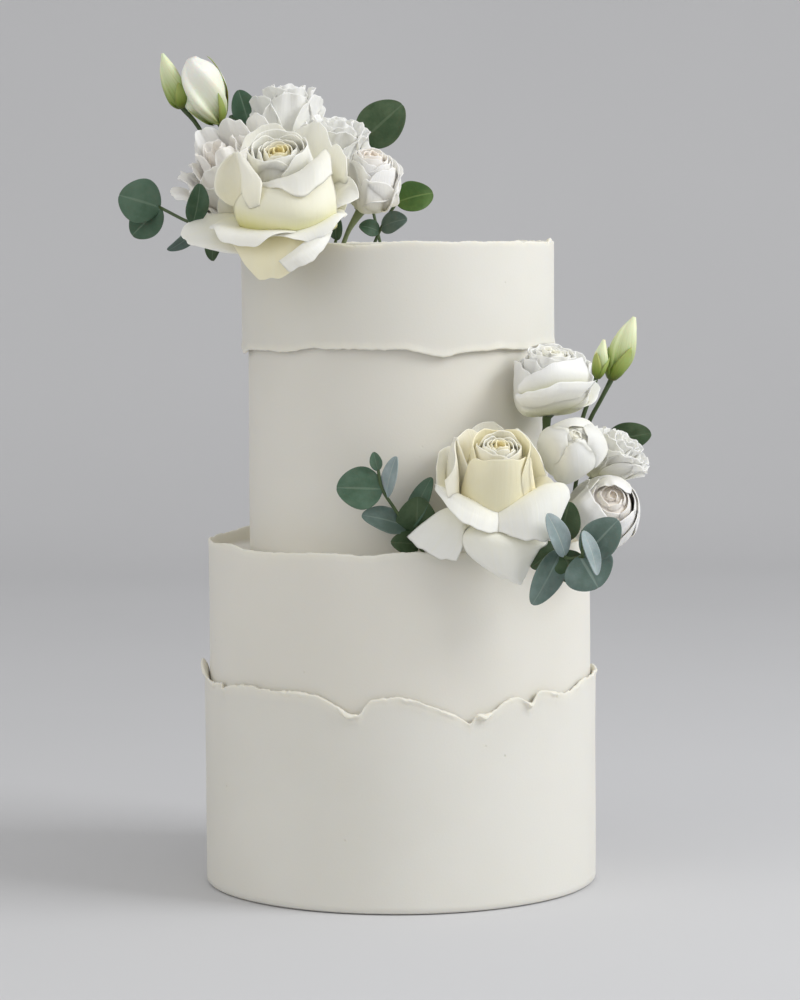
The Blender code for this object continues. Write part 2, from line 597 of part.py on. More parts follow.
sprig("eucalyptus_side_low",
      [[(74, -74, 181), (77, -92, 183), (77, -108, 179), (80, -114, 175), (88, -116, 176)]],
      [((79, -112.5, 176), (70, -122, 197), (0.7, -1, 0.1), 12),
       ((77, -109, 178), (63, -119, 153.5), (0.2, -1, -0.2), 15),
       ((84, -115, 175.5), (92, -117, 158), (0.1, -1, 0.3), 27),
       ((87.5, -116, 176), (99, -119, 195), (-0.1, -1, 0.2), 20),
       ((87.5, -116, 176), (92, -124, 186), (0.9, -0.6, 0), 8)])
sprig("eucalyptus_side_right",
      [[(78, -14, 171.5), (92, -12, 195), (105, -20, 225)]],
      [((104.5, -20, 224), (127, -24, 229), (0, -1, 0.5), 16)])
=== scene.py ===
"""The looks of a two-tier wedding cake in torn layers of ivory icing, with a spray of
garden roses, lisianthus, buds and eucalyptus on its top and another on its ledge.
Metres, +Z up, front towards -Y. The origin is the centre of the cake's bottom face."""

import math

import bpy
import numpy as np
from mathutils import Matrix, Vector


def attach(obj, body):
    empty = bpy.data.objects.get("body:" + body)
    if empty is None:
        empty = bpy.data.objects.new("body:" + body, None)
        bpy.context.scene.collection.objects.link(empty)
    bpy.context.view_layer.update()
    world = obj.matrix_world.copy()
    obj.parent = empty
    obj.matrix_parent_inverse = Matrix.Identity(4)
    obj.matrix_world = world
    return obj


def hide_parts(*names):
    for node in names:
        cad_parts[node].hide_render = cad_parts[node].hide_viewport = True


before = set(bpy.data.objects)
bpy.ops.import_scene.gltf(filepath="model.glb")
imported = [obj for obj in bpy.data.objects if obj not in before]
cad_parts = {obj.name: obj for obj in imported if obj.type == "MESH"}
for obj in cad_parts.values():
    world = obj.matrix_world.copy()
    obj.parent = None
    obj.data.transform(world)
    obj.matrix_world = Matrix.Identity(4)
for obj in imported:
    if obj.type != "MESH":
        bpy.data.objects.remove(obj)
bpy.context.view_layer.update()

MM = 0.001

# Camera, light and floor. The cake is seen from a little above its middle with a long
# lens, in soft light from the upper right, in front of a plain pale sweep of paper.
# Angles here are in radians.
SENSOR = 36.0
LENS = 116.6
CAMERA_PLACE = (0.0005, -1.65, 0.3245)
CAMERA_DIP = 0.0787
CAMERA_ROLL = -0.0064

lens = bpy.data.cameras.new("camera")
lens.sensor_width = SENSOR
lens.lens = LENS
camera = bpy.data.objects.new("camera", lens)
bpy.context.scene.collection.objects.link(camera)
camera.matrix_world = (Matrix.Translation(CAMERA_PLACE)
                       @ Matrix.Rotation(math.pi / 2 - CAMERA_DIP, 4, "X")
                       @ Matrix.Rotation(CAMERA_ROLL, 4, "Z"))
bpy.context.scene.camera = camera
bpy.context.scene.view_settings.view_transform = "Standard"

SKY_COLOUR = (0.93, 0.93, 0.92, 1.0)
SKY_STRENGTH = 0.70

sky = bpy.data.worlds.new("room_light")
bpy.context.scene.world = sky
sky.use_nodes = True
sky_shader = sky.node_tree.nodes["Background"]
sky_shader.inputs["Color"].default_value = SKY_COLOUR
sky_shader.inputs["Strength"].default_value = SKY_STRENGTH


def soft_box(name, place, target, size, power, colour):
    """Square area light of a size, at a place, that shines towards a target."""
    light = bpy.data.lights.new(name, "AREA")
    light.size = size
    light.energy = power
    light.color = colour
    box = bpy.data.objects.new(name, light)
    bpy.context.scene.collection.objects.link(box)
    turn = (Vector(target) - Vector(place)).to_track_quat("-Z", "Y").to_matrix().to_4x4()
    box.matrix_world = Matrix.Translation(place) @ turn


CAKE_MIDDLE = (0.0, 0.0, 0.2)
soft_box("key_light", (1.50, -0.55, 1.20), CAKE_MIDDLE, 0.9, 21.8, (0.97, 0.985, 1.0))
soft_box("fill_light", (-1.3, -1.2, 0.8), CAKE_MIDDLE, 1.4, 5.3, (1.0, 0.99, 0.96))


class Wire:
    """A socket of a finish's nodes. A sum written with it adds a Math node."""

    def __init__(self, finish, socket):
        self.finish = finish
        self.socket = socket

    def sum(self, operation, first, second=0.0):
        return self.finish.add("ShaderNodeMath", {"operation": operation}, {0: first, 1: second})

    def __add__(self, other):
        return self.sum("ADD", self, other)

    def __radd__(self, other):
        return self.sum("ADD", other, self)

    def __sub__(self, other):
        return self.sum("SUBTRACT", self, other)

    def __rsub__(self, other):
        return self.sum("SUBTRACT", other, self)

    def __mul__(self, other):
        return self.sum("MULTIPLY", self, other)

    def __rmul__(self, other):
        return self.sum("MULTIPLY", other, self)


class Finish:
    """A material in the making, with its Principled shader."""

    def __init__(self, name, **constants):
        self.material = bpy.data.materials.new(name)
        self.material.use_nodes = True
        self.tree = self.material.node_tree
        self.shader = self.tree.nodes["Principled BSDF"]
        for socket, value in constants.items():
            self.shader.inputs[socket.replace("_", " ")].default_value = value

    def add(self, kind, settings, values, out=0):
        """One node of a kind. Its settings come first, then its sockets' values or links."""
        node = self.tree.nodes.new(kind)
        for setting, value in settings.items():
            setattr(node, setting, value)
        for socket, value in values.items():
            if isinstance(value, Wire):
                self.tree.links.new(value.socket, node.inputs[socket])
            else:
                node.inputs[socket].default_value = value
        return Wire(self, node.outputs[out])

    def attribute(self, name):
        """A value that the mesh carries at its points."""
        return self.add("ShaderNodeAttribute", {"attribute_name": name}, {}, "Fac")

    def place(self):
        """The point's own place, in metres."""
        return self.add("ShaderNodeTexCoord", {}, {}, "Object")

    def vector(self, x, y, z):
        return self.add("ShaderNodeCombineXYZ", {}, {0: x, 1: y, 2: z})

    def noise(self, where, scale, detail=2.0, rough=0.5):
        return self.add("ShaderNodeTexNoise", {},
                        {"Vector": where, "Scale": scale, "Detail": detail, "Roughness": rough})

    def ramp(self, value, low, high):
        """0 where value is low and 1 where it is high, smooth between."""
        return self.add("ShaderNodeMapRange", {"interpolation_type": "SMOOTHSTEP"},
                        {"Value": value, "From Min": low, "From Max": high})

    def blend(self, share, first, second):
        """A colour between two colours."""
        colours = {6: first if isinstance(first, Wire) else (*first, 1.0),
                   7: second if isinstance(second, Wire) else (*second, 1.0)}
        return self.add("ShaderNodeMix", {"data_type": "RGBA"}, {0: share, **colours}, 2)

    def wear(self, **surfaces):
        """Links what varies over the surface to the shader's sockets of those names."""
        for socket, wire in surfaces.items():
            self.tree.links.new(wire.socket, self.shader.inputs[socket.replace("_", " ")])
        return self.material

    def bump(self, height, strength, distance):
        """The normal of a relief whose height of 1 stands distance metres high."""
        relief = {"Height": height, "Strength": strength, "Distance": distance}
        return self.add("ShaderNodeBump", {}, relief, "Normal")


PAPER_GREY = (0.60, 0.60, 0.615)
PAPER_PALE = (0.63, 0.63, 0.645)
paper = Finish("pale_paper", Roughness=0.9)
speckle = paper.noise(paper.place(), 3.0)
paper_finish = paper.wear(Base_Color=paper.blend(speckle, PAPER_GREY, PAPER_PALE))


def sweep(across, along):
    """The floor runs back, bends up in a quarter circle and rises as a wall. across runs
    sideways from -1 to 1, and along from 0 in front of the cake to 1 at the wall's top."""
    half_width, front, bend_start, radius, rise = 14.0, 14.0, 1.6, 0.9, 3.0
    length = front + bend_start + radius * math.pi / 2 + rise
    s = along * length
    floor = np.clip(s, 0.0, front + bend_start)
    arc = np.clip(s - front - bend_start, 0.0, radius * math.pi / 2) / radius
    wall = np.clip(s - front - bend_start - radius * math.pi / 2, 0.0, None)
    back = floor - front + radius * np.sin(arc)
    return np.stack([across * half_width, back, radius * (1.0 - np.cos(arc)) + wall], -1)


def cell_corners(rows, columns, start=0):
    """Numbers of the four corners, in order, of the cells of a grid of points."""
    number = np.arange(rows * columns).reshape(rows, columns) + start
    return number[:-1, :-1], number[:-1, 1:], number[1:, 1:], number[1:, :-1]


points = sweep(*np.meshgrid(np.linspace(-1, 1, 9), np.linspace(0, 1, 401)))
quads = np.stack(cell_corners(*points.shape[:2]), -1).reshape(-1, 4)
paper_mesh = bpy.data.meshes.new("paper_sweep")
paper_mesh.from_pydata(points.reshape(-1, 3).tolist(), [], quads.tolist())
paper_mesh.shade_smooth()
paper_mesh.materials.append(paper_finish)
paper_sweep = bpy.data.objects.new("paper_sweep", paper_mesh)
bpy.context.scene.collection.objects.link(paper_sweep)


# Icing: ivory buttercream drawn smooth and matt round the two tiers. It shows broad soft hollows of the
# scraper and a few pinholes of trapped air, with painted shade in the pinholes. Its torn rims carry a
# painted highlight: a lighter cream for light that shines through the thin icing and catches the lip.
ICING_SHADE = (0.730, 0.708, 0.645)
ICING_LIGHT = (0.755, 0.734, 0.675)
# Painted highlight: the lighter cream of the torn rims, for light that shines through thin icing and catches
# the lip
TORN_EDGE_HIGHLIGHT = (0.815, 0.785, 0.69)
# Painted shade: the darker colour put inside the pinholes
PINHOLE_SHADE = (0.55, 0.51, 0.42)


def icing_finish():
    made = Finish("ivory_icing", Subsurface_Weight=0.25, Subsurface_Scale=0.006,
                  Subsurface_Radius=(1.0, 0.8, 0.55), Specular_IOR_Level=0.28)
    place = made.place()
    cloud = made.noise(place, 9.0, 3.0, 0.55)
    grain = made.noise(place, 900.0, 4.0, 0.6)
    pits = made.add("ShaderNodeTexVoronoi", {"feature": "F1"}, {"Vector": place, "Scale": 95.0}, "Distance")
    some = made.ramp(made.noise(place, 45.0, 1.0), 0.56, 0.64)
    hole = (1.0 - made.ramp(pits, 0.0, 0.085)) * some
    thin = made.attribute("thin")
    body = made.blend(made.ramp(cloud, 0.35, 0.65), ICING_SHADE, ICING_LIGHT)
    # The thin torn rims get a painted highlight of lighter cream
    edge = made.blend(thin, body, TORN_EDGE_HIGHLIGHT)
    # The pinholes are darkened with painted shade
    colour = made.blend(hole * 0.5, edge, PINHOLE_SHADE)
    height = made.bump(grain * 0.25 + cloud * 2.0 - hole * 2.2, 0.35, 0.0006)
    return made.wear(Base_Color=colour, Roughness=0.62 + 0.14 * cloud, Normal=height)


ICING = icing_finish()


def wave_noise(turn, seed, low, high, size):
    """Sum of about 24 sine waves round the cake, low to high to the turn, each weaker than
    the last by the power 0.6 of its count, with size as the largest sum."""
    pick = np.random.default_rng(seed)
    total = np.zeros_like(turn)
    for count in range(low, high, max(1, (high - low) // 24)):
        strength = pick.normal()
        wave = np.sin(np.radians(count * turn) + pick.uniform(0, 6.283))
        total = total + strength * wave * (low / count) ** 0.6
    return size * total / max(1e-9, np.abs(total).max())


def torn(turn, level, waves, tears):
    """Height in millimetres at the angles turn, in degrees right of the front: a level,
    slow sine waves and tears, each with its angle, depth and left and right widths."""
    height = np.full_like(turn, level)
    for count, size, shift in waves:
        height = height + size * np.sin(np.radians(count * turn + shift))
    for middle, depth, left, right in tears:
        away = (turn - middle + 180.0) % 360.0 - 180.0
        height = height - depth * np.exp(-(away / np.where(away < 0.0, left, right)) ** 2)
    return height


def bell(turn, middle, width):
    """1 at the middle angle, falling to 0 over the width on both sides."""
    return np.exp(-(((turn - middle + 180.0) % 360.0 - 180.0) / width) ** 2)


def dense_profile(knots, steps):
    """Points along straight lines between the knots of a section, as arrays of rows by
    angles. A knot is (radius, height, thinness), and steps gives the rows to the next."""
    rows = []
    for first, second, count in zip(knots[:-1], knots[1:], steps):
        share = np.linspace(0.0, 1.0, count, endpoint=False)[:, None]
        rows.append([a * (1.0 - share) + b * share for a, b in zip(first, second)])
    rows.append([np.atleast_2d(value) for value in knots[-1]])
    return [np.concatenate([row[k] for row in rows]) for k in range(3)]


WELD = 0.002


def welded(shells):
    """Vertices, triangles and values of several shells. A shell is one or more grids of
    points in millimetres, each with a dictionary of values on it and whether its faces
    are flipped. Points of a shell within WELD become one, faces that this flattens are
    dropped, and a shell that is inside out is turned."""
    all_points, all_faces, all_values = [], [], {}
    count = 0
    for grids in shells:
        points = np.concatenate([grid.reshape(-1, 3) for grid, values, flip in grids])
        faces = []
        start = 0
        for grid, values, flip in grids:
            rows, columns = grid.shape[:2]
            a, b, c, d = cell_corners(rows, columns, start)
            pair = np.concatenate([np.stack(half, -1).reshape(-1, 3) for half in ((a, b, c), (a, c, d))])
            faces.append(pair[:, ::-1] if flip else pair)
            start += rows * columns
        faces = np.concatenate(faces)
        _, first, back = np.unique(np.round(points / WELD).astype(np.int64), axis=0,
                                   return_index=True, return_inverse=True)
        faces = back.ravel()[faces]
        kept = (faces[:, 0] != faces[:, 1]) & (faces[:, 1] != faces[:, 2]) & (faces[:, 2] != faces[:, 0])
        faces = faces[kept]
        points = points[first]
        corner = points[faces] - points.mean(axis=0)
        volume = np.einsum("ij,ij->", corner[:, 0], np.cross(corner[:, 1], corner[:, 2]))
        if volume < 0.0:
            faces = faces[:, ::-1]
        all_points.append(points)
        all_faces.append(faces + count)
        for key in grids[0][1]:
            value = np.concatenate([np.broadcast_to(values[key], grid.shape[:2]).reshape(-1)
                                    for grid, values, flip in grids])
            all_values.setdefault(key, []).append(value[first])
        count += len(points)
    joined = {key: np.concatenate(parts) for key, parts in all_values.items()}
    return np.concatenate(all_points), np.concatenate(all_faces), joined


def new_piece(name, shells, finish, *nodes):
    """A piece of the cake from its shells, which stands in for the named solids."""
    points, faces, values = welded(shells)
    mesh = bpy.data.meshes.new(name)
    mesh.from_pydata((points * MM).tolist(), [], faces.tolist())
    for key, value in values.items():
        mesh.attributes.new(key, "FLOAT", "POINT").data.foreach_set("value", value.astype(np.float32))
    mesh.shade_smooth()
    mesh.materials.append(finish)
    piece = bpy.data.objects.new(name, mesh)
    bpy.context.scene.collection.objects.link(piece)
    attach(piece, "root")
    if nodes:
        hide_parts(*nodes)
    return piece


def turned(knots, steps, turn, hollows):
    """Shell of a section that varies round the cake. The outer walls move in and out by
    slow waves that run up and round, as a scraper leaves them, of size hollows."""
    knots = [[value + 0.0 * turn for value in knot] for knot in knots]
    radius, height, thin = dense_profile(knots, steps)
    angle = np.radians(turn)
    broad = (np.sin(3 * angle + height / 31.0) + np.sin(5 * angle - height / 19.0 + 1.0)
             + 0.7 * np.sin(2 * angle + height / 12.0 + 2.0) + 0.5 * np.sin(9 * angle + height / 47.0))
    radius = radius + hollows * broad * np.clip((radius - 60.0) / 10.0, 0.0, 1.0)
    grid = np.stack([radius * np.sin(angle), -radius * np.cos(angle), height + 0.0 * angle], -1)
    return [(grid, {"thin": thin}, False)]


# Sizes in millimetres: the gap between solids that touch, the walls of the two tiers and
# of their outer layers, and the flat tops that lie inside the torn rims
GAP = 0.3
LOWER_RADIUS = 97.3
LOWER_TOP = 169.0
LOWER_RIM = 175.9
WRAP_RADIUS = 100.0
WRAP_EDGE = 106.8
UPPER_RADIUS = 76.2
UPPER_TOP = 320.0
UPPER_RIM = 325.5
BAND_RADIUS = 79.4
BAND_LOW = 273.2
BAND_HIGH = 326.0
turn = np.linspace(-180.0, 180.0, 1081)[None, :]

# The lower tier, with its inner coat of icing up to a rim torn by a dry scraper
ragged = wave_noise(turn, 3, 24, 110, 0.35) + wave_noise(turn, 4, 120, 420, 0.14)
rim = ragged + torn(turn, LOWER_RIM, [(5, 0.5, 40), (11, 0.4, 10), (17, 0.3, 80)],
                    [(-45, 1.0, 10, 6), (118, 1.4, 8, 12)])
lean = 0.35 * wave_noise(turn, 5, 9, 60, 1.0)
lower_tier = [
    (0.0, 0.0, 0.0), (LOWER_RADIUS - 0.9, 0.0, 0.0), (LOWER_RADIUS, 0.9, 0.0),
    (LOWER_RADIUS, rim - 4.0, 0.0), (LOWER_RADIUS + lean, rim - 0.4, 0.7),
    (LOWER_RADIUS - 0.5 + lean, rim, 1.0), (LOWER_RADIUS - 1.1 + lean, rim - 0.15, 1.0),
    (LOWER_RADIUS - 1.5 + 0.6 * lean, rim - 1.0, 0.9), (LOWER_RADIUS - 2.3, LOWER_TOP + 0.8, 0.5),
    (LOWER_RADIUS - 3.4, LOWER_TOP, 0.2), (0.0, LOWER_TOP, 0.0)]
rows = [6, 2, 44, 6, 2, 2, 2, 8, 3, 12]
new_piece("icing_lower_tier", [turned(lower_tier, rows, turn, 0.06)], ICING, "lower_tier")

# The outer layer round the lower tier's foot, torn in deep scoops. Its edge flares out
# beside each scoop and droops over in a few thick crumbs.
edge = torn(turn, WRAP_EDGE, [(3, 1.3, 200), (13, 0.4, 30), (23, 0.3, 90)],
            [(-88, -9.0, 5, 7), (-61, 2.2, 1.5, 2.5), (-12, 8.8, 9, 2.6), (7, 1.0, 3, 4),
             (19.5, 9.5, 10, 1.6), (24.5, 8.0, 5, 7.5), (39.5, 4.2, 4, 2.2), (57, 4.6, 8, 7),
             (150, 7.0, 14, 9)])
edge = edge + wave_noise(turn, 11, 24, 110, 0.45) + wave_noise(turn, 12, 120, 420, 0.26)
flare = 0.40 + 0.35 * np.sin(np.radians(9.0 * turn + 50.0)) + wave_noise(turn, 13, 12, 70, 0.45)
for size, middle, width in ((2.0, -13.5, 3.0), (1.8, 23.0, 3.5), (1.4, 39.0, 2.5), (1.4, -61.0, 3.0),
                            (1.5, -87.0, 7.0)):
    flare = flare + size * bell(turn, middle, width)
droop = 0.0 * turn
for size, middle, width in ((1.8, -15.0, 2.2), (2.2, 24.0, 1.8), (1.4, 39.0, 1.4), (0.9, -29.0, 2.0)):
    droop = droop + size * bell(turn, middle, width)
droop = droop + np.clip(wave_noise(turn, 14, 20, 90, 1.2), 0.0, None)
inside = LOWER_RADIUS + 0.5
lower_wrap = [
    (inside, 0.5, 0.0), (WRAP_RADIUS - 0.9, 0.5, 0.0), (WRAP_RADIUS, 1.4, 0.0),
    (WRAP_RADIUS, edge - 6.0, 0.0), (WRAP_RADIUS + 0.30 * flare, edge - 2.5 - 0.4 * droop, 0.35),
    (WRAP_RADIUS + flare + 0.5 * droop, edge - 0.35 - droop, 0.9),
    (WRAP_RADIUS - 0.35 + flare + 0.4 * droop, edge - 0.5 * droop, 1.0),
    (WRAP_RADIUS - 0.95 + flare, edge, 1.0), (WRAP_RADIUS - 1.45 + 0.9 * flare, edge - 0.7, 0.9),
    (WRAP_RADIUS - 1.8 + 0.3 * flare, edge - 2.6, 0.3), (inside, edge - 5.0, 0.0), (inside, 0.5, 0.0)]
rows = [2, 2, 40, 5, 4, 2, 2, 2, 4, 3, 4]
new_piece("icing_lower_wrap", [turned(lower_wrap, rows, turn, 0.08)], ICING, "lower_wrap")

# The upper tier, which stands on the lower one and is hidden at its top by the band
foot = LOWER_TOP + GAP
rim = UPPER_RIM + wave_noise(turn, 21, 10, 60, 0.3)
upper_tier = [
    (0.0, foot, 0.0), (UPPER_RADIUS - 0.6, foot, 0.0), (UPPER_RADIUS, foot + 0.6, 0.0),
    (UPPER_RADIUS, rim - 0.8, 0.0), (UPPER_RADIUS - 0.5, rim, 0.3),
    (UPPER_RADIUS - 1.6, rim - 0.5, 0.4), (UPPER_RADIUS - 2.3, UPPER_TOP + 0.8, 0.3),
    (UPPER_RADIUS - 3.4, UPPER_TOP, 0.0), (0.0, UPPER_TOP, 0.0)]
rows = [6, 2, 46, 2, 2, 6, 3, 12]
new_piece("icing_upper_tier", [turned(upper_tier, rows, turn, 0.06)], ICING, "upper_tier")

# The outer band round the top of the upper tier, torn along both edges
low = torn(turn, BAND_LOW, [(4, 0.9, 150), (11, 0.5, 60), (19, 0.3, 10)],
           [(15, 2.2, 12, 8), (-79, 2.0, 10, 8)])
low = low + wave_noise(turn, 31, 24, 110, 0.3) + wave_noise(turn, 32, 120, 420, 0.12)
high = torn(turn, BAND_HIGH, [(6, 0.25, 100), (15, 0.15, 20), (29, 0.12, 75)],
            [(-14, 1.9, 8, 10), (51.5, 1.3, 1.0, 2.2), (63, 0.6, 9, 8), (72, 1.0, 1.5, 1.0),
             (76, -1.2, 1.5, 2.5)])
high = high + wave_noise(turn, 33, 24, 110, 0.2) + wave_noise(turn, 34, 120, 420, 0.16)
lift = 0.35 + wave_noise(turn, 35, 10, 60, 0.35)
inside = UPPER_RADIUS + 0.5
upper_band = [
    (inside, low + 3.5, 0.0), (BAND_RADIUS - 1.3 + lift, low + 0.5, 0.8),
    (BAND_RADIUS - 0.8 + lift, low, 1.0), (BAND_RADIUS - 0.2 + lift, low + 0.1, 1.0),
    (BAND_RADIUS + lift, low + 0.6, 0.8), (BAND_RADIUS, low + 4.0, 0.0), (BAND_RADIUS, high - 3.0, 0.0),
    (BAND_RADIUS - 0.2 + 0.4 * lift, high - 0.4, 0.7), (BAND_RADIUS - 0.7 + 0.4 * lift, high, 1.0),
    (BAND_RADIUS - 1.3 + 0.4 * lift, high - 0.2, 1.0), (inside, high - 1.2, 0.6), (inside, low + 3.5, 0.0)]
rows = [4, 2, 2, 2, 5, 24, 4, 2, 2, 3, 6]
new_piece("icing_upper_band", [turned(upper_band, rows, turn, 0.08)], ICING, "upper_band")


# Fresh flowers: garden roses, spray roses and lisianthus. A petal is a thin soft sheet, thin at its rim,
# that grows from the flower's foot. White at the rim, it turns cream and then green-yellow at its foot, and
# fine veins fan out along it. Its warmth tints it toward a warm tone: partly the flowers' own blush and
# warmer hearts, partly painted glow and shade where light bounces deep in a flower and where a petal lies in
# shade.
def petal_finish(name, rim, cream, foot, warm_tone):
    made = Finish(name, Subsurface_Weight=0.5, Subsurface_Scale=0.0025,
                  Subsurface_Radius=(1.0, 0.95, 0.8), Specular_IOR_Level=0.30)
    along = made.attribute("along")
    side = made.attribute("across")
    warm = made.attribute("warm")
    place = made.place()
    fan = made.vector(side * 11.0, along * 1.1, warm * 7.0)
    vein = made.noise(fan, 1.6, 3.0, 0.6)
    blotch = made.noise(place, 60.0, 3.0, 0.6)
    upper = made.blend(made.ramp(along, 0.35, 0.95), cream, rim)
    green = made.blend(made.ramp(along + blotch * 0.16, 0.12, 0.62), foot, upper)
    # Partly painted glow and shade: warmth tints the petal toward warm_tone, for the flower's own blush and
    # warmer heart and for light bounced between petals and shade on shaded petals
    tinted = made.blend(made.ramp(warm + blotch * 0.2, 0.15, 1.1), green, warm_tone)
    colour = made.blend(made.ramp(vein, 0.45, 0.8) * 0.22, tinted, cream)
    grain = made.noise(place, 1500.0, 2.0, 0.5)
    return made.wear(Base_Color=colour, Roughness=0.46 + vein * 0.16,
                     Normal=made.bump(vein * 1.0 + grain * 0.12, 0.30, 0.0005))


IVORY_PETAL = petal_finish("ivory_petal", rim=(0.93, 0.92, 0.84), cream=(0.925, 0.895, 0.68),
                           foot=(0.80, 0.79, 0.34), warm_tone=(0.93, 0.80, 0.42))
WHITE_PETAL = petal_finish("white_petal", rim=(0.945, 0.94, 0.90), cream=(0.94, 0.925, 0.80),
                           foot=(0.86, 0.86, 0.52), warm_tone=(0.94, 0.90, 0.70))
BLUSH_PETAL = petal_finish("blush_petal", rim=(0.945, 0.93, 0.89), cream=(0.94, 0.90, 0.79),
                           foot=(0.86, 0.85, 0.52), warm_tone=(0.95, 0.865, 0.77))


def flower_axes(lean_front, lean_right):
    """Rows of a turn matrix: the flower's right, its back and its axis, which leans from
    upright by angles in degrees to the front and to the right."""
    front = math.radians(lean_front)
    right = math.radians(lean_right)
    axis = np.array([math.sin(right) * math.cos(front), -math.sin(front), math.cos(right) * math.cos(front)])
    ahead = np.array([0.0, -1.0, 0.0])
    ahead = ahead - axis * (ahead @ axis)
    ahead = ahead / np.linalg.norm(ahead)
    return np.array([np.cross(axis, ahead), -ahead, axis])


def running_sum(values, steps, axis):
    """Trapezoid sums of values over uneven steps along an axis, from 0."""
    moved = np.moveaxis(values, axis, 0)
    total = np.zeros_like(moved)
    width = np.diff(steps).reshape((-1,) + (1,) * (moved.ndim - 1))
    total[1:] = np.cumsum((moved[1:] + moved[:-1]) / 2.0 * width, axis=0)
    return np.moveaxis(total, 0, axis)


def petal(azimuth, tip_out, tip_up, start, end, width, rows=24, columns=24, roll=0.6, wrap=0.7, base_out=2.5,
          near=0.5, far=0.4, rounded=0.28, power=2.4, frill=0.0, waves=1.3, tuck=1.4, seed=0, wavy=0.35):
    """Grid of a petal in its flower's frame, in millimetres. Its midline is a cubic curve
    in the plane of its azimuth, from base_out at the foot to the tip, leaning from the
    axis by start and end degrees. Across it bends round the axis by wrap and its sides
    roll back by roll, one value or (left, right). Its rim falls off to the sides by
    rounded times |u| to the power, and frill waves it. tuck puts one side in and one out,
    so that neighbours overlap."""
    foot = np.array([base_out, 0.0])
    tip = np.array([tip_out, tip_up])
    chord = np.linalg.norm(tip - foot)
    first = foot + near * chord * np.array([math.sin(math.radians(start)), math.cos(math.radians(start))])
    last = tip - far * chord * np.array([math.sin(math.radians(end)), math.cos(math.radians(end))])
    t = np.linspace(0.0, 1.0, 61)[:, None]
    line = foot * (1 - t) ** 3 + 3 * first * t * (1 - t) ** 2 + 3 * last * t ** 2 * (1 - t) + tip * t ** 3
    steps = np.diff(line, axis=0)
    along = np.concatenate([[0.0], np.cumsum(np.hypot(steps[:, 0], steps[:, 1]))])
    heading = np.unwrap(np.arctan2(np.gradient(line[:, 0]), np.gradient(line[:, 1])))
    v = np.sin(0.5 * math.pi * np.linspace(0.0, 1.0, rows + 1) ** 0.9)[:, None]
    line_u = np.sin(0.5 * math.pi * np.linspace(-1.0, 1.0, columns + 1))
    u = line_u[None, :]
    pick = np.random.default_rng(seed + 1000 * int(abs(azimuth)))
    phase = pick.uniform(0.0, 6.283, 4)
    rim = 1.0 - rounded * np.abs(u) ** power
    rim = rim + 0.012 * np.sin(7.0 * u + phase[0]) + 0.007 * np.sin(13.0 * u + phase[1])
    reach = v * along[-1] * np.minimum(rim, 1.0)
    out = np.interp(reach, along, line[:, 0])
    up = np.interp(reach, along, line[:, 1])
    lean = np.interp(reach, along, heading)
    half = 0.5 * width * (0.42 + 0.58 * np.sin(0.5 * math.pi * np.clip(v / 0.6, 0.0, 1.0)))
    half = half * (1.0 - 0.18 * np.clip((v - 0.7) / 0.3, 0.0, 1.0) ** 2)
    middle = np.interp(v * along[-1], along, line[:, 0])
    bend = np.clip(wrap * half / np.maximum(middle, 3.0), -2.2, 2.2) * u
    edge = np.clip((np.abs(u) - 0.4) / 0.6, 0.0, 1.0) ** 1.4 * np.clip(2.0 * v - 0.4, 0.0, 1.0)
    left_roll, right_roll = roll if isinstance(roll, tuple) else (roll, roll)
    bend = bend - np.sign(u) * np.where(u < 0.0, left_roll, right_roll) * edge
    centre = columns // 2
    sideways = running_sum(np.cos(bend), line_u, 1)
    sideways = (sideways - sideways[:, centre:centre + 1]) * half
    inward = running_sum(np.sin(bend), line_u, 1)
    inward = (inward - inward[:, centre:centre + 1]) * half
    rise = v ** 2 * (0.35 + 0.65 * np.abs(u))
    inward = inward + frill * v ** 2 * np.sin(2.0 * math.pi * waves * u + phase[2])
    inward = inward + 0.35 * frill * v ** 4 * np.sin(5.2 * math.pi * waves * u + phase[3])
    swing = np.sin(3.1 * u + 4.0 * v + phase[0]) + np.sin(5.3 * u - 3.0 * v + phase[1])
    inward = inward + wavy * rise * swing
    inward = inward + tuck * u * np.minimum(2.0 * v, 1.0)
    out = out - np.cos(lean) * inward
    up = up + np.sin(lean) * inward
    turned_to = math.radians(azimuth)
    x = out * math.sin(turned_to) + sideways * math.cos(turned_to)
    y = -out * math.cos(turned_to) + sideways * math.sin(turned_to)
    return np.stack([x, y, up], axis=-1), v + 0.0 * u, u + 0.0 * v


def thick_sheet(grid, wall, values):
    """Closed shell of a sheet: two faces half a wall from it that meet at its rim."""
    down = np.gradient(grid, axis=0)
    right = np.gradient(grid, axis=1)
    normal = np.cross(right, down)
    normal = normal / np.maximum(np.linalg.norm(normal, axis=-1, keepdims=True), 1e-9)
    rows, columns = grid.shape[:2]
    i = np.minimum(np.arange(rows), np.arange(rows)[::-1])[:, None]
    j = np.minimum(np.arange(columns), np.arange(columns)[::-1])[None, :]
    ring = np.minimum(i, j)
    half = 0.5 * wall * np.select([ring == 0, ring == 1], [0.0, 0.8], 1.0)[..., None]
    return [(grid + normal * half, values, False), (grid - normal * half, values, True)]


def squeezed(distance, free, least):
    """Distances under free are pressed between least and free, in their order: least plus
    an exponential of how far below free they are."""
    room = free - least
    return np.where(distance < free, least + room * np.exp((distance - free) / room), distance)


def behind_plane(points, middle, normal, free=7.0, least=0.9):
    """Points kept on the side of a plane that its normal points to."""
    distance = (points - middle) @ normal
    return points + (squeezed(distance, free, least) - distance)[..., None] * normal


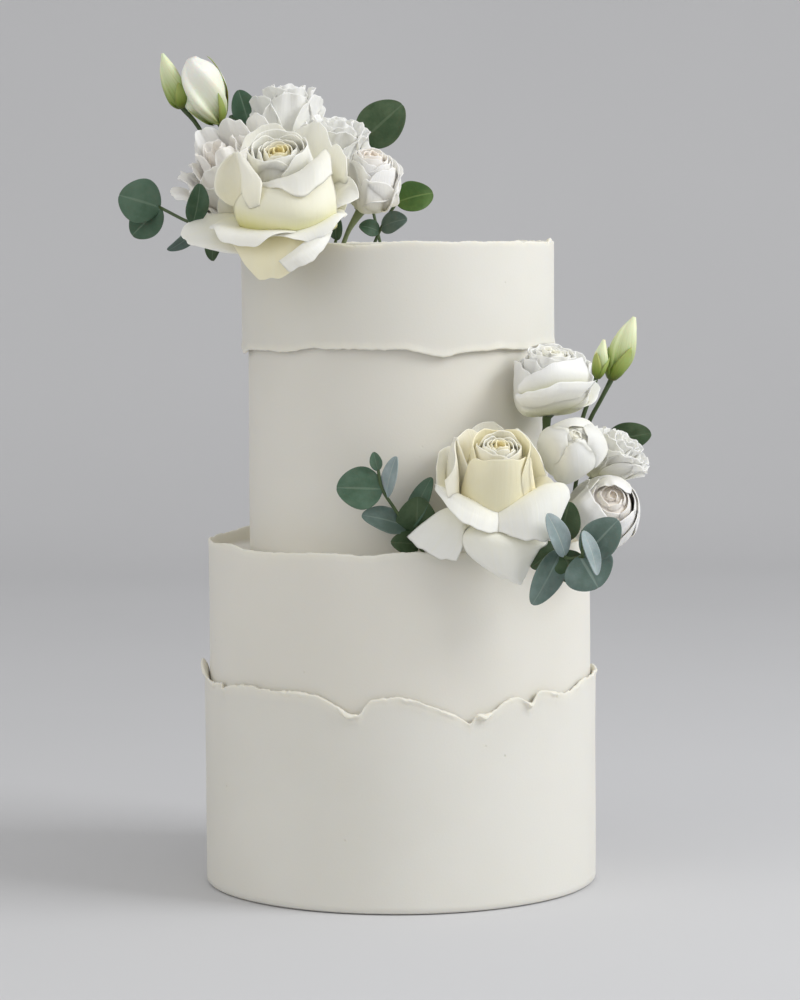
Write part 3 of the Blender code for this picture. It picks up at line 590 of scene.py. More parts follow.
def off_cylinder(points, radius, top, free=4.0, least=0.95):
    """Points kept outside an upright cylinder on the cake's axis."""
    flat = points[..., :2]
    out = np.linalg.norm(flat, axis=-1)
    side = out - radius
    over = points[..., 2] - top
    beyond = np.hypot(np.maximum(side, 0.0), np.maximum(over, 0.0))
    distance = np.where((side > 0.0) | (over > 0.0), beyond, np.maximum(side, over))
    share_side = np.where(distance > 0.0, np.maximum(side, 0.0), (side >= over) * 1.0)
    share_over = np.where(distance > 0.0, np.maximum(over, 0.0), (side < over) * 1.0)
    size = np.maximum(np.hypot(share_side, share_over), 1e-9)
    push = squeezed(distance, free, least) - distance
    moved = points.copy()
    moved[..., 2] += push * share_over / size
    moved[..., :2] += (push * share_side / size / np.maximum(out, 1e-9))[..., None] * flat
    return moved


def off_cake(points):
    """Points kept off the band, the upper tier and the lower tier, up to their torn rims."""
    points = off_cylinder(points, BAND_RADIUS, BAND_HIGH + 0.4)
    points = off_cylinder(points, UPPER_RADIUS, UPPER_RIM + 0.3)
    return off_cylinder(points, LOWER_RADIUS + 0.3, LOWER_RIM + 1.3)


FLOWERS = {
    # name: foot, lean to the front, lean to the right, middle of its bulk, radius of its bulk
    "top_rose": ((-53, -45, 333), 31, -7, (-53, -62, 354), 28),
    "top_lisianthus": ((-74, -18, 340), 22, -26, (-93, -12, 366), 17),
    "top_ruffle_back": ((-56, 18, 357), -4, 0, (-56, 18, 388), 18),
    "top_ruffle_right": ((-38, 0, 345), 12, 12, (-31, -2, 378), 15),
    "top_spray_rose": ((-17, -38, 343), 22, 12, (-8, -43, 358), 15),
    "side_rose": ((46, -84, 192), 30, 4, (48, -98, 213), 22),
    "side_spray_rose_upper": ((74, -56, 239), 16, 4, (76, -60, 259), 17),
    "side_spray_rose_round": ((83.5, -65.5, 217), 55, 8, (84, -75, 225), 15),
    "side_ruffle": ((97, -43, 206), 14, 38, (110, -47, 221), 15),
    "side_spray_rose_blush": ((97, -56, 187), 55, 24, (105, -68, 196), 19),
}


def crowd(name, points):
    """Points of a flower kept clear of the cake and of its neighbours, each behind a plane
    between their middles that divides the way in the ratio of their radii."""
    middle = np.array(FLOWERS[name][3], dtype=float)
    radius = FLOWERS[name][4]
    for _ in range(2):
        for other, (base, front, right, centre, size) in FLOWERS.items():
            away = middle - np.array(centre, dtype=float)
            distance = np.linalg.norm(away)
            if other == name or distance > 60.0:
                continue
            normal = away / distance
            limit = np.array(centre) + normal * distance * size / (size + radius)
            points = behind_plane(points, limit, normal)
        points = off_cake(points)
    return points


def ring(count, first, tip_out, tip_up, start, end, width, warm, seed, **form):
    """Petals spread evenly round the axis from a first angle, each a little unlike the
    others in its angle, its tip and its lean, and all of one warmth."""
    pick = np.random.default_rng(seed)
    made = []
    for k in range(count):
        jitter = pick.uniform(-1.0, 1.0, 4)
        azimuth = first + 360.0 * k / count + 9.0 * jitter[0]
        sheet = petal(azimuth, tip_out * (1.0 + 0.05 * jitter[1]), tip_up + 0.9 * jitter[2], start,
                      end + 5.0 * jitter[3], width, seed=seed + k, **form)
        made.append((sheet, warm))
    return made


GOLDEN_ANGLE = 137.5


def heart(rings, outer, height, dome, warm, seed, inside=(-12, -8), inner=1.5, **form):
    """Nested rings of petals from the middle, at a radius of inner, out to outer. Their rims
    fall by dome from the middle out, and each ring is turned by the golden angle. warm and
    inside, the lean of the rims, each change from a first value to a last one."""
    made = []
    for k in range(rings):
        share = k / (rings - 1)
        reach = inner + (outer - inner) * share
        count = 3 if reach < 5.0 else 4 if reach < 9.0 else 5
        width = max(7.0, 2.0 * 6.283 * (reach + 1.0) / count)
        lean = inside[0] + (inside[1] - inside[0]) * share
        warmth = warm[0] + (warm[1] - warm[0]) * share
        made += ring(count, GOLDEN_ANGLE * k, reach, height - dome * share ** 2, 20.0 + 65.0 * share,
                     lean, width, warmth, seed + k, wrap=1.0, roll=0.15 * share,
                     near=0.35 + 0.27 * share, base_out=1.0 + 3.0 * share, rounded=0.09, **form)
    return made


def through(points, steps):
    """Cubic segments through points along the first axis, cut into even steps."""
    points = np.array(points, dtype=float)
    fine = np.linspace(0, len(points) - 1, steps + 1)
    slope = np.gradient(points, axis=0)
    low = np.minimum(fine.astype(int), len(points) - 2)
    t = (fine - low).reshape((-1,) + (1,) * (points.ndim - 1))
    return ((2 * t ** 3 - 3 * t ** 2 + 1) * points[low] + (t ** 3 - 2 * t ** 2 + t) * slope[low]
            + (3 * t ** 2 - 2 * t ** 3) * points[low + 1] + (t ** 3 - t ** 2) * slope[low + 1])


def draped(lines, seed):
    """Grid of a petal through guide lines of points from its foot to its rim, each line
    from its left to its right side, with faint waves that grow to the rim."""
    cells = 40
    grid = through(through(lines, cells).swapaxes(0, 1), cells).swapaxes(0, 1)
    v = np.linspace(0.0, 1.0, cells + 1)[:, None]
    u = np.linspace(-1.0, 1.0, cells + 1)[None, :]
    grid[..., 2] += 0.35 * v ** 2 * (np.sin(8.0 * u + seed) + 0.6 * np.sin(15.0 * u + 2.0 * seed))
    return grid, v + 0.0 * u, u + 0.0 * v


STEPS = 4


def tube_points(path, sides, smooth=STEPS):
    """Grid of a closed tube whose path gives x, y, z and radius in millimetres. The path
    is first made smooth through its points by cubic segments of a number of steps."""
    path = through(path, (len(path) - 1) * smooth)
    middles = path[:, :3]
    headings = np.gradient(middles, axis=0)
    headings = headings / np.linalg.norm(headings, axis=1)[:, None]
    sideways = np.cross(headings, [0.31, 0.87, 0.38])
    sideways = sideways / np.linalg.norm(sideways, axis=1)[:, None]
    upward = np.cross(headings, sideways)
    angle = np.linspace(0.0, 2.0 * math.pi, sides + 1)[None, :, None]
    outward = np.cos(angle) * sideways[:, None] + np.sin(angle) * upward[:, None]
    rings = middles[:, None] + path[:, None, 3:] * outward
    first = np.repeat(middles[:1, None], sides + 1, axis=1)
    last = np.repeat(middles[-1:, None], sides + 1, axis=1)
    return np.concatenate([first, rings, last])


def stem_finish(name, shade, light):
    made = Finish(name, Roughness=0.5)
    streak = made.noise(made.place(), 140.0, 3.0)
    return made.wear(Base_Color=made.blend(streak, shade, light))


STEM_GREEN = stem_finish("green_stem", (0.030, 0.055, 0.018), (0.085, 0.13, 0.045))
PALE_STEM = stem_finish("pale_stem", (0.15, 0.19, 0.09), (0.26, 0.31, 0.16))
STEM_RADIUS = 1.3
PETAL_WALL = 0.5
ON_TOP = UPPER_TOP + 1.5
ON_LEDGE = LOWER_TOP + 2.5


def flower(name, petals, calyx, stem, finish, core, tips=(), folds=(), green=STEM_GREEN):
    """One flower. petals are in its own frame. Each of tips makes a petal that ends there:
    its tip, start and end angles, width, warmth and form. folds are petals draped through
    guide lines: the share of the petal's length at the first line, the warmth, the lines.
    calyx and core are pairs of height and radius along the axis: the green cup, and the
    furled middle, whose first number is its warmth. stem leads up to the calyx."""
    base, front, right = FLOWERS[name][:3]
    base = np.array(base, dtype=float)
    axes = flower_axes(front, right)
    petals = list(petals)
    for tip, start, end, width, warm, form in tips:
        local = axes @ (np.array(tip, dtype=float) - base)
        azimuth = math.degrees(math.atan2(local[0], -local[1]))
        sheet = petal(azimuth, math.hypot(local[0], local[1]), local[2], start, end, width,
                      rows=40, columns=40, **form)
        petals.append((sheet, warm))
    shells = []
    for (grid, along, across), warm in petals:
        values = {"along": along, "across": across, "warm": warm}
        shells.append(thick_sheet(crowd(name, base + grid @ axes), PETAL_WALL, values))
    for low, warm, lines in folds:
        grid, along, across = draped(lines, len(shells))
        values = {"along": low + (1.0 - low) * along, "across": across, "warm": warm}
        shells.append(thick_sheet(crowd(name, grid), PETAL_WALL, values))
    furl = tube_points([(*(base + height * axes[2]), radius) for height, radius in core[1:]], 32)
    shells.append([(crowd(name, furl), {"along": 0.7, "across": 0.0, "warm": core[0]}, False)])
    new_piece(name + "_petals", shells, finish, name)
    rises = [(*(base + height * axes[2]), radius) for height, radius in calyx]
    stalk = tube_points([(*point, STEM_RADIUS) for point in stem] + rises, 14)
    calyx_start = len(stem) * STEPS
    stalk[calyx_start:] = crowd(name, stalk[calyx_start:])
    new_piece(name + "_stem", [[(stalk, {}, False)]], green)


# The large rose on top: a cupped spiral heart, tall petals behind it, a petal folded
# over at the front, and wide outer petals that spread over the tier's edge and hang.
# Its draped petals follow guide lines, to the half millimetre, from the foot to the rim.

# The petal folded over at the front
FOLDED_OVER = (0.12, 0.25, [
    [(-77, -68, 334), (-64, -77, 329), (-50, -81, 327), (-38, -78, 328), (-29, -70, 333)],
    [(-79, -73, 339), (-65, -86, 335), (-50, -91, 333), (-38, -87.5, 335), (-29, -78, 339)],
    [(-79, -76, 344), (-66, -89, 341), (-50, -95, 338.5), (-37, -91.5, 340), (-29, -82, 344)],
    [(-76, -76, 349), (-65, -87, 348), (-50, -93.5, 346), (-38, -89.5, 348), (-30, -80, 352)],
    [(-71, -75, 354), (-61, -82, 355), (-50, -85.5, 358), (-41, -81, 364), (-35, -73, 370)],
    [(-70.5, -76, 354), (-60, -85, 354.5), (-48, -89.5, 356), (-38, -86, 361.5), (-32, -77, 368)],
    [(-69.5, -77, 353), (-58, -89, 352), (-47, -94.5, 347.5), (-38, -90, 352), (-31, -82, 359)]])
# The upright petal at the left, rolled about a valley
HOOD = (0.6, 0.3, [
    [(-83, -74, 345), (-79, -72, 343), (-74, -74, 343), (-71, -85, 342), (-66, -89, 343)],
    [(-88, -73, 350), (-83, -67.5, 350), (-76, -67, 350), (-73.5, -83, 349.5), (-65, -89, 350.5)],
    [(-88.5, -72, 357), (-83, -66.5, 357.5), (-76.5, -66, 358), (-74, -80, 358.5), (-65, -86.5, 355.5)],
    [(-86, -71, 363.5), (-82, -67, 364.5), (-77.5, -67, 365), (-75.5, -77, 365), (-69, -82, 361)],
    [(-81, -71.5, 368.5), (-79, -70.5, 369.7), (-77.5, -70.5, 370), (-76.5, -73, 370), (-74, -76, 368)]])
# The turned-back side of the petal that hangs over the tier's edge
HANGING_FLAP = (0.9, 0.0, [
    [(-57, -93, 317), (-50, -94, 322), (-42, -91, 328), (-33, -86, 333)],
    [(-55, -97, 315), (-47, -99, 319.5), (-39, -96, 325), (-32, -88, 332)],
    [(-52, -97, 312), (-43, -98, 315.5), (-36, -95, 321.5), (-31, -89, 330.5)]])
# Its heart and middle are tinted warmest, partly the rose's warmer heart and partly a painted glow of light
# bounced deep in the cup; the hanging petal's warmth of 0.6 is painted shade
flower("top_rose",
       heart(4, 9.0, 45, 0.0, (1.0, 0.1), 1, inside=(-10, -12), inner=2.2, wavy=0.15, tuck=0.9)
       + ring(3, 10, 12.2, 47, 68, -8, 42, 0.15, 5, wrap=1.0, roll=0.2, near=0.62, far=0.5, rounded=0.08)
       + ring(3, 70, 15.0, 47.5, 75, -4, 50, 0.1, 6, wrap=1.0, roll=0.3, near=0.62, far=0.5, rounded=0.1),
       calyx=[(0, 5), (2.5, 8), (7, 9), (12, 6), (16, 2)],
       stem=[(-47, -42, ON_TOP), (-48, -44, 328)],
       finish=IVORY_PETAL, core=(1.1, (17, 5), (26, 8), (35, 7.5), (40, 5), (41.5, 2)),
       tips=[((-17, -72, 349), 70, 100, 40, 0.15, dict(roll=0.6, wrap=0.6)),
             ((-24, -54, 372), 85, 40, 38, 0.2, dict(roll=0.9, wrap=1.0, near=0.6)),
             ((-66, -36, 384), 80, 5, 44, 0.15, dict(roll=0.5, wrap=1.0)),
             ((-39, -36, 385), 82, 15, 44, 0.1, dict(roll=0.7, wrap=1.0, frill=1.0)),
             ((-76, -92, 324), 62, 142, 54, 0.15, dict(roll=(0.5, 0.2), wrap=0.4, near=0.7, far=0.25)),
             ((-105, -60, 328), 82, 100, 50, 0.1, dict(roll=0.6, wrap=0.3)),
             ((-38, -93, 327), 59, 140, 46, 0.1, dict(roll=(0.2, 0.9), wrap=0.4, near=0.7, far=0.25)),
             ((-61, -89, 308), 50, 156, 44, 0.6, dict(roll=(0.2, 1.2), wrap=0.2, near=0.6, far=0.5))],
       folds=[FOLDED_OVER, HOOD, HANGING_FLAP])

# The flowers round the large rose on top: a blush lisianthus with frilled petals at the
# left, two white ruffled flowers behind it and a small blush spray rose at the right
flower("top_lisianthus",
       ring(5, 20, 23, 30, 80, 40, 34, 0.1, 11, frill=1.3, near=0.45, roll=0.5, waves=1.2)
       + ring(5, 50, 16, 37, 70, 20, 28, 0.3, 12, frill=1.1, near=0.45, waves=1.2)
       + ring(4, 10, 10, 41, 60, 5, 24, 0.4, 13, frill=0.8, near=0.4, wrap=1.0)
       + ring(3, 40, 5, 41, 40, 0, 15, 0.6, 14, frill=0.5, near=0.35, wrap=1.0),
       calyx=[(0, 3), (3, 5), (8, 5), (12, 2)],
       stem=[(-68, -18, ON_TOP), (-71, -18, 331)],
       finish=BLUSH_PETAL, core=(0.7, (13, 3), (22, 5), (31, 5), (35, 2)),
       tips=[((-70, -22, 391), 60, 10, 30, 0.05, dict(frill=1.0)),
             ((-84, -22, 388), 70, 10, 30, 0.05, dict(frill=1.2)),
             ((-98, -20, 383), 66, 15, 26, 0.05, dict(frill=1.0)),
             ((-109, -24, 360), 78, 50, 28, 0.2, dict(frill=0.9, wrap=0.4)),
             ((-113, -28, 350), 88, 75, 36, 0.3, dict(wrap=0.3, roll=0.3, frill=0.8)),
             ((-105, -31, 343), 95, 100, 30, 0.5, dict(wrap=0.3, roll=0.4, frill=0.6))])
flower("top_ruffle_back",
       ring(6, 0, 18, 43, 65, 36, 30, 0.0, 21, frill=0.9, near=0.45, waves=1.4, rounded=0.18)
       + ring(5, 30, 13, 48, 55, 26, 26, 0.0, 22, frill=0.9, near=0.4, waves=1.3, rounded=0.18)
       + ring(4, 10, 8, 50, 45, 12, 20, 0.1, 23, frill=0.7, near=0.35, rounded=0.15)
       + ring(3, 50, 3, 49, 25, 0, 12, 0.2, 24, frill=0.4, near=0.3, rounded=0.15),
       calyx=[(0, 3), (4, 5), (9, 5), (14, 2)],
       stem=[(-52, 26, ON_TOP), (-54, 22, 340)],
       finish=WHITE_PETAL, core=(0.2, (15, 3), (26, 5), (36, 5), (41, 2)))
flower("top_ruffle_right",
       ring(6, 0, 18, 41, 65, 42, 28, 0.0, 31, frill=0.9, near=0.45, waves=1.4, rounded=0.18)
       + ring(5, 30, 12, 44, 55, 28, 24, 0.0, 32, frill=0.8, near=0.4, waves=1.3, rounded=0.18)
       + ring(4, 10, 7, 45, 45, 10, 18, 0.1, 33, frill=0.7, near=0.35, rounded=0.15)
       + ring(3, 50, 3, 44, 25, 0, 11, 0.2, 34, frill=0.4, near=0.3, rounded=0.15),
       calyx=[(0, 3), (4, 5), (9, 5), (14, 2)],
       stem=[(-42, 5, ON_TOP), (-40, 3, 334)],
       finish=WHITE_PETAL, core=(0.2, (15, 3), (25, 5), (34, 5), (39, 2)))
flower("top_spray_rose",
       ring(4, 0, 15, 21, 92, 10, 33, 0.0, 41, base_out=4, near=0.6, far=0.4, roll=0.7, rounded=0.18)
       + ring(4, 45, 12, 25, 88, -8, 29, 0.1, 42, base_out=4, near=0.6, far=0.4, wrap=1.0, roll=0.4,
              rounded=0.14)
       + heart(4, 9.5, 29, 1.5, (0.9, 0.2), 43, inside=(-14, -12), inner=2.0, wavy=0.15, tuck=0.9),
       calyx=[(0, 3), (2, 6), (6, 7), (10, 3)],
       stem=[(-28, -34, ON_TOP), (-24, -36, 332)],
       finish=BLUSH_PETAL, core=(0.9, (11, 4), (18, 7), (24, 7), (26.5, 4.5), (27.5, 1.5)),
       tips=[((3, -42, 362), 88, 55, 28, 0.0, dict(roll=0.7, near=0.6)),
             ((-4, -52, 346), 88, 85, 26, 0.0, dict(roll=0.5))],
       green=PALE_STEM)

# The large rose on the ledge: a goblet heart between two upright petals, and folded
# and pointed petals that spread in front of it

# The bright petals folded down at the front, to the left and to the right
FRONT_LEFT = (0.45, 0, [
    [(33, -90, 203), (38, -93, 199), (44, -95, 197), (50, -95, 197), (54, -93, 198)],
    [(18, -104, 210), (25.5, -107, 207), (35, -108, 202.5), (42.5, -107, 199.5), (48.5, -105, 198.5)],
    [(17.5, -106, 210), (24.5, -111, 203.5), (33, -113, 197.5), (41.5, -113, 194), (48, -110, 193)],
    [(17, -107, 208.5), (23.5, -113, 199), (31.5, -116, 192), (39.5, -116, 188.5), (47, -113, 187)]])
FRONT_RIGHT = (0.45, 0, [
    [(46, -94, 197), (52, -94, 197), (58, -92, 198), (63, -89, 200), (66, -86, 203)],
    [(44, -104, 198), (52, -106, 200.5), (60.5, -106, 204.5), (70, -103, 209.5), (80, -99, 210)],
    [(45.5, -109, 193), (53.5, -113, 194), (63, -115, 197.5), (73.5, -111, 202.5), (82.5, -104, 208.5)],
    [(46.5, -112, 188), (55.5, -116, 185), (64, -119, 184), (72.5, -115, 185), (82, -107, 203.5)]])
# The pointed petal that hangs over the tier's edge
HANGING = (0.5, 0.05, [
    [(40, -90, 195), (46, -92, 193), (54, -92, 193), (62, -90, 195)],
    [(31, -106, 186.5), (39.5, -111, 188), (55, -112, 185), (71, -106, 183)],
    [(30.5, -106, 180.5), (41, -113, 179), (55, -114, 176.5), (67, -109, 178.5)],
    [(34, -105, 175), (44, -110, 170), (54.5, -111, 167), (63, -108, 171.5)],
    [(42, -104, 168.5), (49.5, -106, 165), (57.5, -107, 162), (60.5, -107, 165.5)]])
# The pointed petal low at the left
LOW_LEFT = (0.5, 0.1, [
    [(36, -88, 197), (38, -90, 195), (42, -91, 194), (46, -92, 193)],
    [(22.5, -97, 198), (27.5, -101, 196), (30.5, -103, 193.5), (32.5, -104, 189)],
    [(11.5, -97, 191), (17.5, -102, 187.5), (25, -104, 182.5), (30.5, -105, 180.5)],
    [(3.5, -97, 184), (10.5, -101, 178.5), (19.5, -103, 174), (27.5, -103, 173)]])
# The upright petal at the left
UPRIGHT_LEFT = (0.5, 0.3, [
    [(24.5, -92, 199), (30.5, -98, 199), (36, -103, 199), (40.5, -106, 199)],
    [(23, -86, 208.5), (26.5, -94, 210), (31, -101, 211.5), (36.5, -107, 211)],
    [(23.5, -82, 219), (25.5, -90, 220.5), (28, -98, 221.5), (32, -105, 222)],
    [(26, -80, 228.5), (26.5, -86, 230), (26.5, -93, 231.5), (28, -100, 232.5)]])
# Its heart, middle and left petals are tinted warm, partly the rose's own colour and partly a painted glow
# and shade deep in the cup and behind it
flower("side_rose",
       heart(4, 7.6, 43.5, 0.5, (0.7, 0.2), 51, inside=(-10, -10), inner=2.0, wavy=0.15, tuck=0.9)
       + ring(3, 70, 10.0, 44, 60, -6, 35, 0.35, 54, wrap=1.0, roll=0.2, near=0.6, far=0.5, rounded=0.08)
       + ring(3, 0, 13.6, 44, 72, -2, 46, 0.6, 55, wrap=1.0, roll=0.3, near=0.6, far=0.5, rounded=0.1),
       calyx=[(0, 5), (2.5, 8), (7, 9), (12, 6), (16, 2)],
       stem=[(40, -74, ON_LEDGE), (42, -79, 181)],
       finish=IVORY_PETAL, core=(1.0, (17, 4), (26, 6), (35, 6.5), (39, 4.5), (40.5, 1.5)),
       tips=[((28, -97, 232), 86, 16, 56, 0.35, dict(roll=(0.4, 2.0), wrap=1.0, near=0.55, rounded=0.22)),
             ((22, -80, 226), 80, 35, 40, 0.3, dict(roll=0.5, wrap=0.8)),
             ((44, -72, 238), 80, 12, 44, 0.15, dict(roll=0.4, wrap=1.0)),
             ((69, -78, 236), 84, 14, 46, 0.15, dict(roll=(0.3, 0.8), wrap=1.0)),
             ((78, -100, 205), 76, 108, 36, 0.0, dict(roll=0.7, wrap=0.5))],
       folds=[FRONT_LEFT, FRONT_RIGHT, HANGING, LOW_LEFT, UPRIGHT_LEFT])

# The smaller flowers on the ledge: a white spray rose on a long stem, a round one that is
# half shut, a white ruffled flower at the back and a blush spray rose turned to the front

# Two petals of the upper spray rose that fan out from the left to the right
LOWER_FAN = (0.35, 0.05, [
    [(64.5, -70, 241.5), (69.5, -69, 239.5), (75.5, -67, 239.5), (82, -62, 241.5)],
    [(59, -76, 246.5), (67.5, -79, 244), (77, -77, 244.5), (87, -70, 246.5)],
    [(56.5, -76, 250), (65.5, -84, 249), (78.5, -82, 250.5), (91.5, -76, 252)],
    [(57.5, -77, 252), (65.5, -86, 253.5), (79, -85, 257.5), (96.5, -76, 258)]])
UPPER_FAN = (0.2, 0, [
    [(59.5, -76, 251), (67.5, -82, 252), (79.5, -81, 254), (91.5, -75, 255.5)],
    [(58, -77, 253.5), (66.5, -84, 258), (78, -84, 261.5), (93, -75, 261.5)],
    [(58, -77, 256.5), (66, -83.5, 262.5), (77.5, -82.5, 267.5), (90, -71, 269)]])
flower("side_spray_rose_upper",
       ring(4, 10, 17, 29, 90, 6, 34, 0.0, 61, base_out=5, near=0.6, far=0.4, frill=0.9, roll=0.4,
            rounded=0.16)
       + ring(4, 40, 14, 32.5, 85, 8, 30, 0.05, 62, base_out=4, near=0.55, wrap=0.9, frill=1.2,
              rounded=0.14)
       + heart(4, 10.5, 35, 0.5, (0.5, 0.1), 63, inside=(-10, 2), inner=2.2, frill=0.8, wavy=0.2,
               tuck=0.9),
       calyx=[(0, 3), (2, 6), (7, 7), (11, 3)],
       stem=[(60, -56, ON_LEDGE), (65, -55, 205), (71, -54, 226)],
       finish=WHITE_PETAL, core=(0.4, (12, 5), (22, 9), (29, 8.5), (32, 6), (33, 2)),
       tips=[((99, -50, 255), 88, 72, 28, 0.0, dict(near=0.6, rounded=0.4))],
       folds=[LOWER_FAN, UPPER_FAN])
flower("side_spray_rose_round",
       ring(4, 200, 4.6, 26.8, 92, -84, 36, 0.4, 71, base_out=4, near=0.74, far=0.5, wrap=1.0, roll=0.1,
            rounded=0.1)
       + ring(3, 150, 3.4, 26.8, 90, -78, 30, 0.5, 72, base_out=4, near=0.7, far=0.5, wrap=1.0, roll=0.0,
              rounded=0.07)
       + heart(3, 2.6, 27.2, 0.2, (0.7, 0.4), 74, inside=(-30, -55), inner=0.9, wavy=0.1, tuck=0.5),
       calyx=[(0, 3), (2, 6), (7, 8), (13, 7), (18, 3)],
       stem=[(70, -58, ON_LEDGE), (76, -61, 195)],
       finish=WHITE_PETAL, core=(0.5, (18.6, 4), (21, 7.2), (24, 6.8), (25.9, 3.2), (26.4, 1)))
flower("side_ruffle",
       ring(6, 0, 18, 22, 80, 60, 26, 0.0, 81, frill=0.9, near=0.45, waves=1.4, rounded=0.2)
       + ring(5, 30, 14, 26, 70, 40, 23, 0.0, 82, frill=0.9, near=0.4, waves=1.4, rounded=0.18)
       + ring(5, 60, 9, 28, 60, 25, 18, 0.05, 83, frill=0.8, near=0.4, rounded=0.16)
       + ring(4, 10, 5, 29, 40, 8, 13, 0.1, 84, frill=0.6, near=0.35, rounded=0.15),
       calyx=[(0, 2), (2, 4), (6, 4), (9, 2)],
       stem=[(82, -36, ON_LEDGE), (88, -38, 188)],
       finish=WHITE_PETAL, core=(0.2, (10, 3), (17, 6), (22, 6), (25, 2)))

# Two smooth outer petals of the blush spray rose, at the left and at the top
SHELL_LEFT = (0.45, 0.05, [
    [(81.5, -72, 193.5), (84.5, -72, 186), (89.5, -70, 178.5), (95, -73, 176.5)],
    [(82, -76, 200), (84.5, -81, 191.5), (90, -82, 184), (96.5, -80, 179.5)],
    [(84.5, -76, 205.5), (88, -83, 198.5), (93, -86, 191), (99.5, -84, 184.5)],
    [(90, -72, 210.5), (93, -80, 204), (97.5, -85.5, 197), (103, -86, 190)]])
SHELL_TOP = (0.45, 0.1, [
    [(93, -64, 208.5), (99.5, -68, 211), (107.5, -68, 210.5), (113.5, -64, 206.5)],
    [(93.5, -71, 207), (99.5, -76, 209.5), (106.5, -77, 209), (114, -71, 204.5)],
    [(95, -77, 204.5), (100, -81, 207), (106.5, -81.5, 206.5), (113, -76, 202)]])
flower("side_spray_rose_blush",
       ring(4, 0, 15, 23, 92, -15, 37, 0.1, 91, base_out=5, near=0.65, far=0.45, wrap=1.0, roll=0.3,
            rounded=0.14)
       + ring(4, 45, 13.8, 25.5, 91, -24, 34, 0.15, 92, base_out=4, near=0.62, far=0.45, wrap=1.0,
              roll=0.1, rounded=0.12)
       + heart(4, 12.0, 30, 3.5, (0.8, 0.2), 93, inside=(-25, -35), inner=1.8, wavy=0.15, tuck=0.9),
       calyx=[(0, 4), (2, 7), (6, 8), (10, 3)],
       stem=[(78, -44, ON_LEDGE), (84, -48, 180)],
       finish=BLUSH_PETAL, core=(0.8, (11, 6), (17, 12), (22, 11.8), (26, 7.5), (28, 2)),
       folds=[SHELL_LEFT, SHELL_TOP])


# Lisianthus buds: long furled petals, green at the foot and cream at the tip, held by
# thin pointed sepals on slim dark stems
def bud_finish(name, foot, middle, tip):
    made = Finish(name, Subsurface_Weight=0.2, Subsurface_Scale=0.003, Specular_IOR_Level=0.35)
    along = made.attribute("along")
    streak = made.noise(made.vector(made.attribute("across") * 9.0, along * 1.0, 0.0), 1.5, 3.0)
    low = made.blend(made.ramp(along + streak * 0.25, 0.22, 0.6), foot, middle)
    colour = made.blend(made.ramp(along + streak * 0.25, 0.45, 0.95), low, tip)
    return made.wear(Base_Color=colour, Roughness=0.42 + streak * 0.15,
                     Normal=made.bump(streak, 0.25, 0.0005))


GREEN_BUD = bud_finish("green_bud", foot=(0.13, 0.19, 0.02), middle=(0.33, 0.42, 0.12),
                       tip=(0.78, 0.83, 0.56))
WHITE_BUD = bud_finish("white_bud", foot=(0.30, 0.38, 0.06), middle=(0.80, 0.83, 0.66),
                       tip=(0.88, 0.885, 0.82))
SEPAL_GREEN = bud_finish("sepal_green", foot=(0.09, 0.13, 0.012), middle=(0.17, 0.24, 0.025),
                         tip=(0.36, 0.44, 0.13))


FURLED_SIDES = 120
OVERLAP = 0.16


def furled(path, twist, folds, depth):
    """Grid of a bud that follows a path of x, y, z and radius. Its petals are furled: over
    each fold the radius swells by depth as the cube of a sine, then drops over the last
    part of the fold, OVERLAP, and the folds twist by twist turns round its length."""
    grid = tube_points(path, FURLED_SIDES, 6)
    rows = grid.shape[0]
    middle = grid[:, :-1].mean(axis=1, keepdims=True)
    share = np.linspace(0.0, 1.0, rows)[:, None]
    angle = np.linspace(0.0, 2.0 * math.pi, FURLED_SIDES + 1)[None, :]
    saw = (folds * angle / (2.0 * math.pi) + twist * share) % 1.0
    swell = np.sin(0.5 * math.pi * np.minimum(saw / (1.0 - OVERLAP), 1.0)) ** 3
    swell = swell * np.clip((1.0 - saw) / OVERLAP, 0.0, 1.0)
    step = 1.0 + depth * swell * np.sin(math.pi * share) - 0.5 * depth
    grid = middle + (grid - middle) * step[..., None]
    grid[:, -1] = grid[:, 0]
    return grid, share + 0.0 * angle, saw + 0.0 * share


SEPAL_ROWS = 20
SEPAL_COLUMNS = 7
SEPAL_SIDES = 72
SEPAL_WALL = 0.45


def sepal(path, turned_by, reach, width, flare):
    """Grid of a thin pointed sepal that lies on a bud from its foot up to reach of its
    length, turned_by degrees round it, and stands off by flare millimetres at its tip."""
    body = tube_points(path, SEPAL_SIDES, 6)[1:-1]
    rows = max(8, int(len(body) * reach))
    v = np.linspace(0.0, 1.0, SEPAL_ROWS)[:, None]
    u = np.linspace(-1.0, 1.0, SEPAL_COLUMNS)[None, :]
    row = v[:, 0] * (rows - 1)
    low = np.minimum(row.astype(int), len(body) - 2)
    share = (row - low)[:, None, None]
    body = body[low] * (1.0 - share) + body[low + 1] * share
    middle = body[:, :-1].mean(axis=1, keepdims=True)
    size = np.maximum(np.linalg.norm(body[:, :1] - middle, axis=-1), 0.8)
    half = 0.5 * width * np.sin(math.pi * np.clip(0.15 + 0.85 * v, 0.0, 1.0)) ** 0.8 + 0.05
    angle = math.radians(turned_by) + u * np.minimum(half / size, 1.2)
    place = (angle % (2.0 * math.pi)) / (2.0 * math.pi) * SEPAL_SIDES
    first = np.minimum(place.astype(int), SEPAL_SIDES - 1)
    part = (place - first)[..., None]
    line = np.arange(SEPAL_ROWS)[:, None]
    rim = body[line, first] * (1.0 - part) + body[line, first + 1] * part
    away = (rim - middle) / np.maximum(np.linalg.norm(rim - middle, axis=-1, keepdims=True), 1e-6)
    return rim + away * (0.35 + flare * v ** 3)[..., None], v + 0.0 * u, u + 0.0 * v


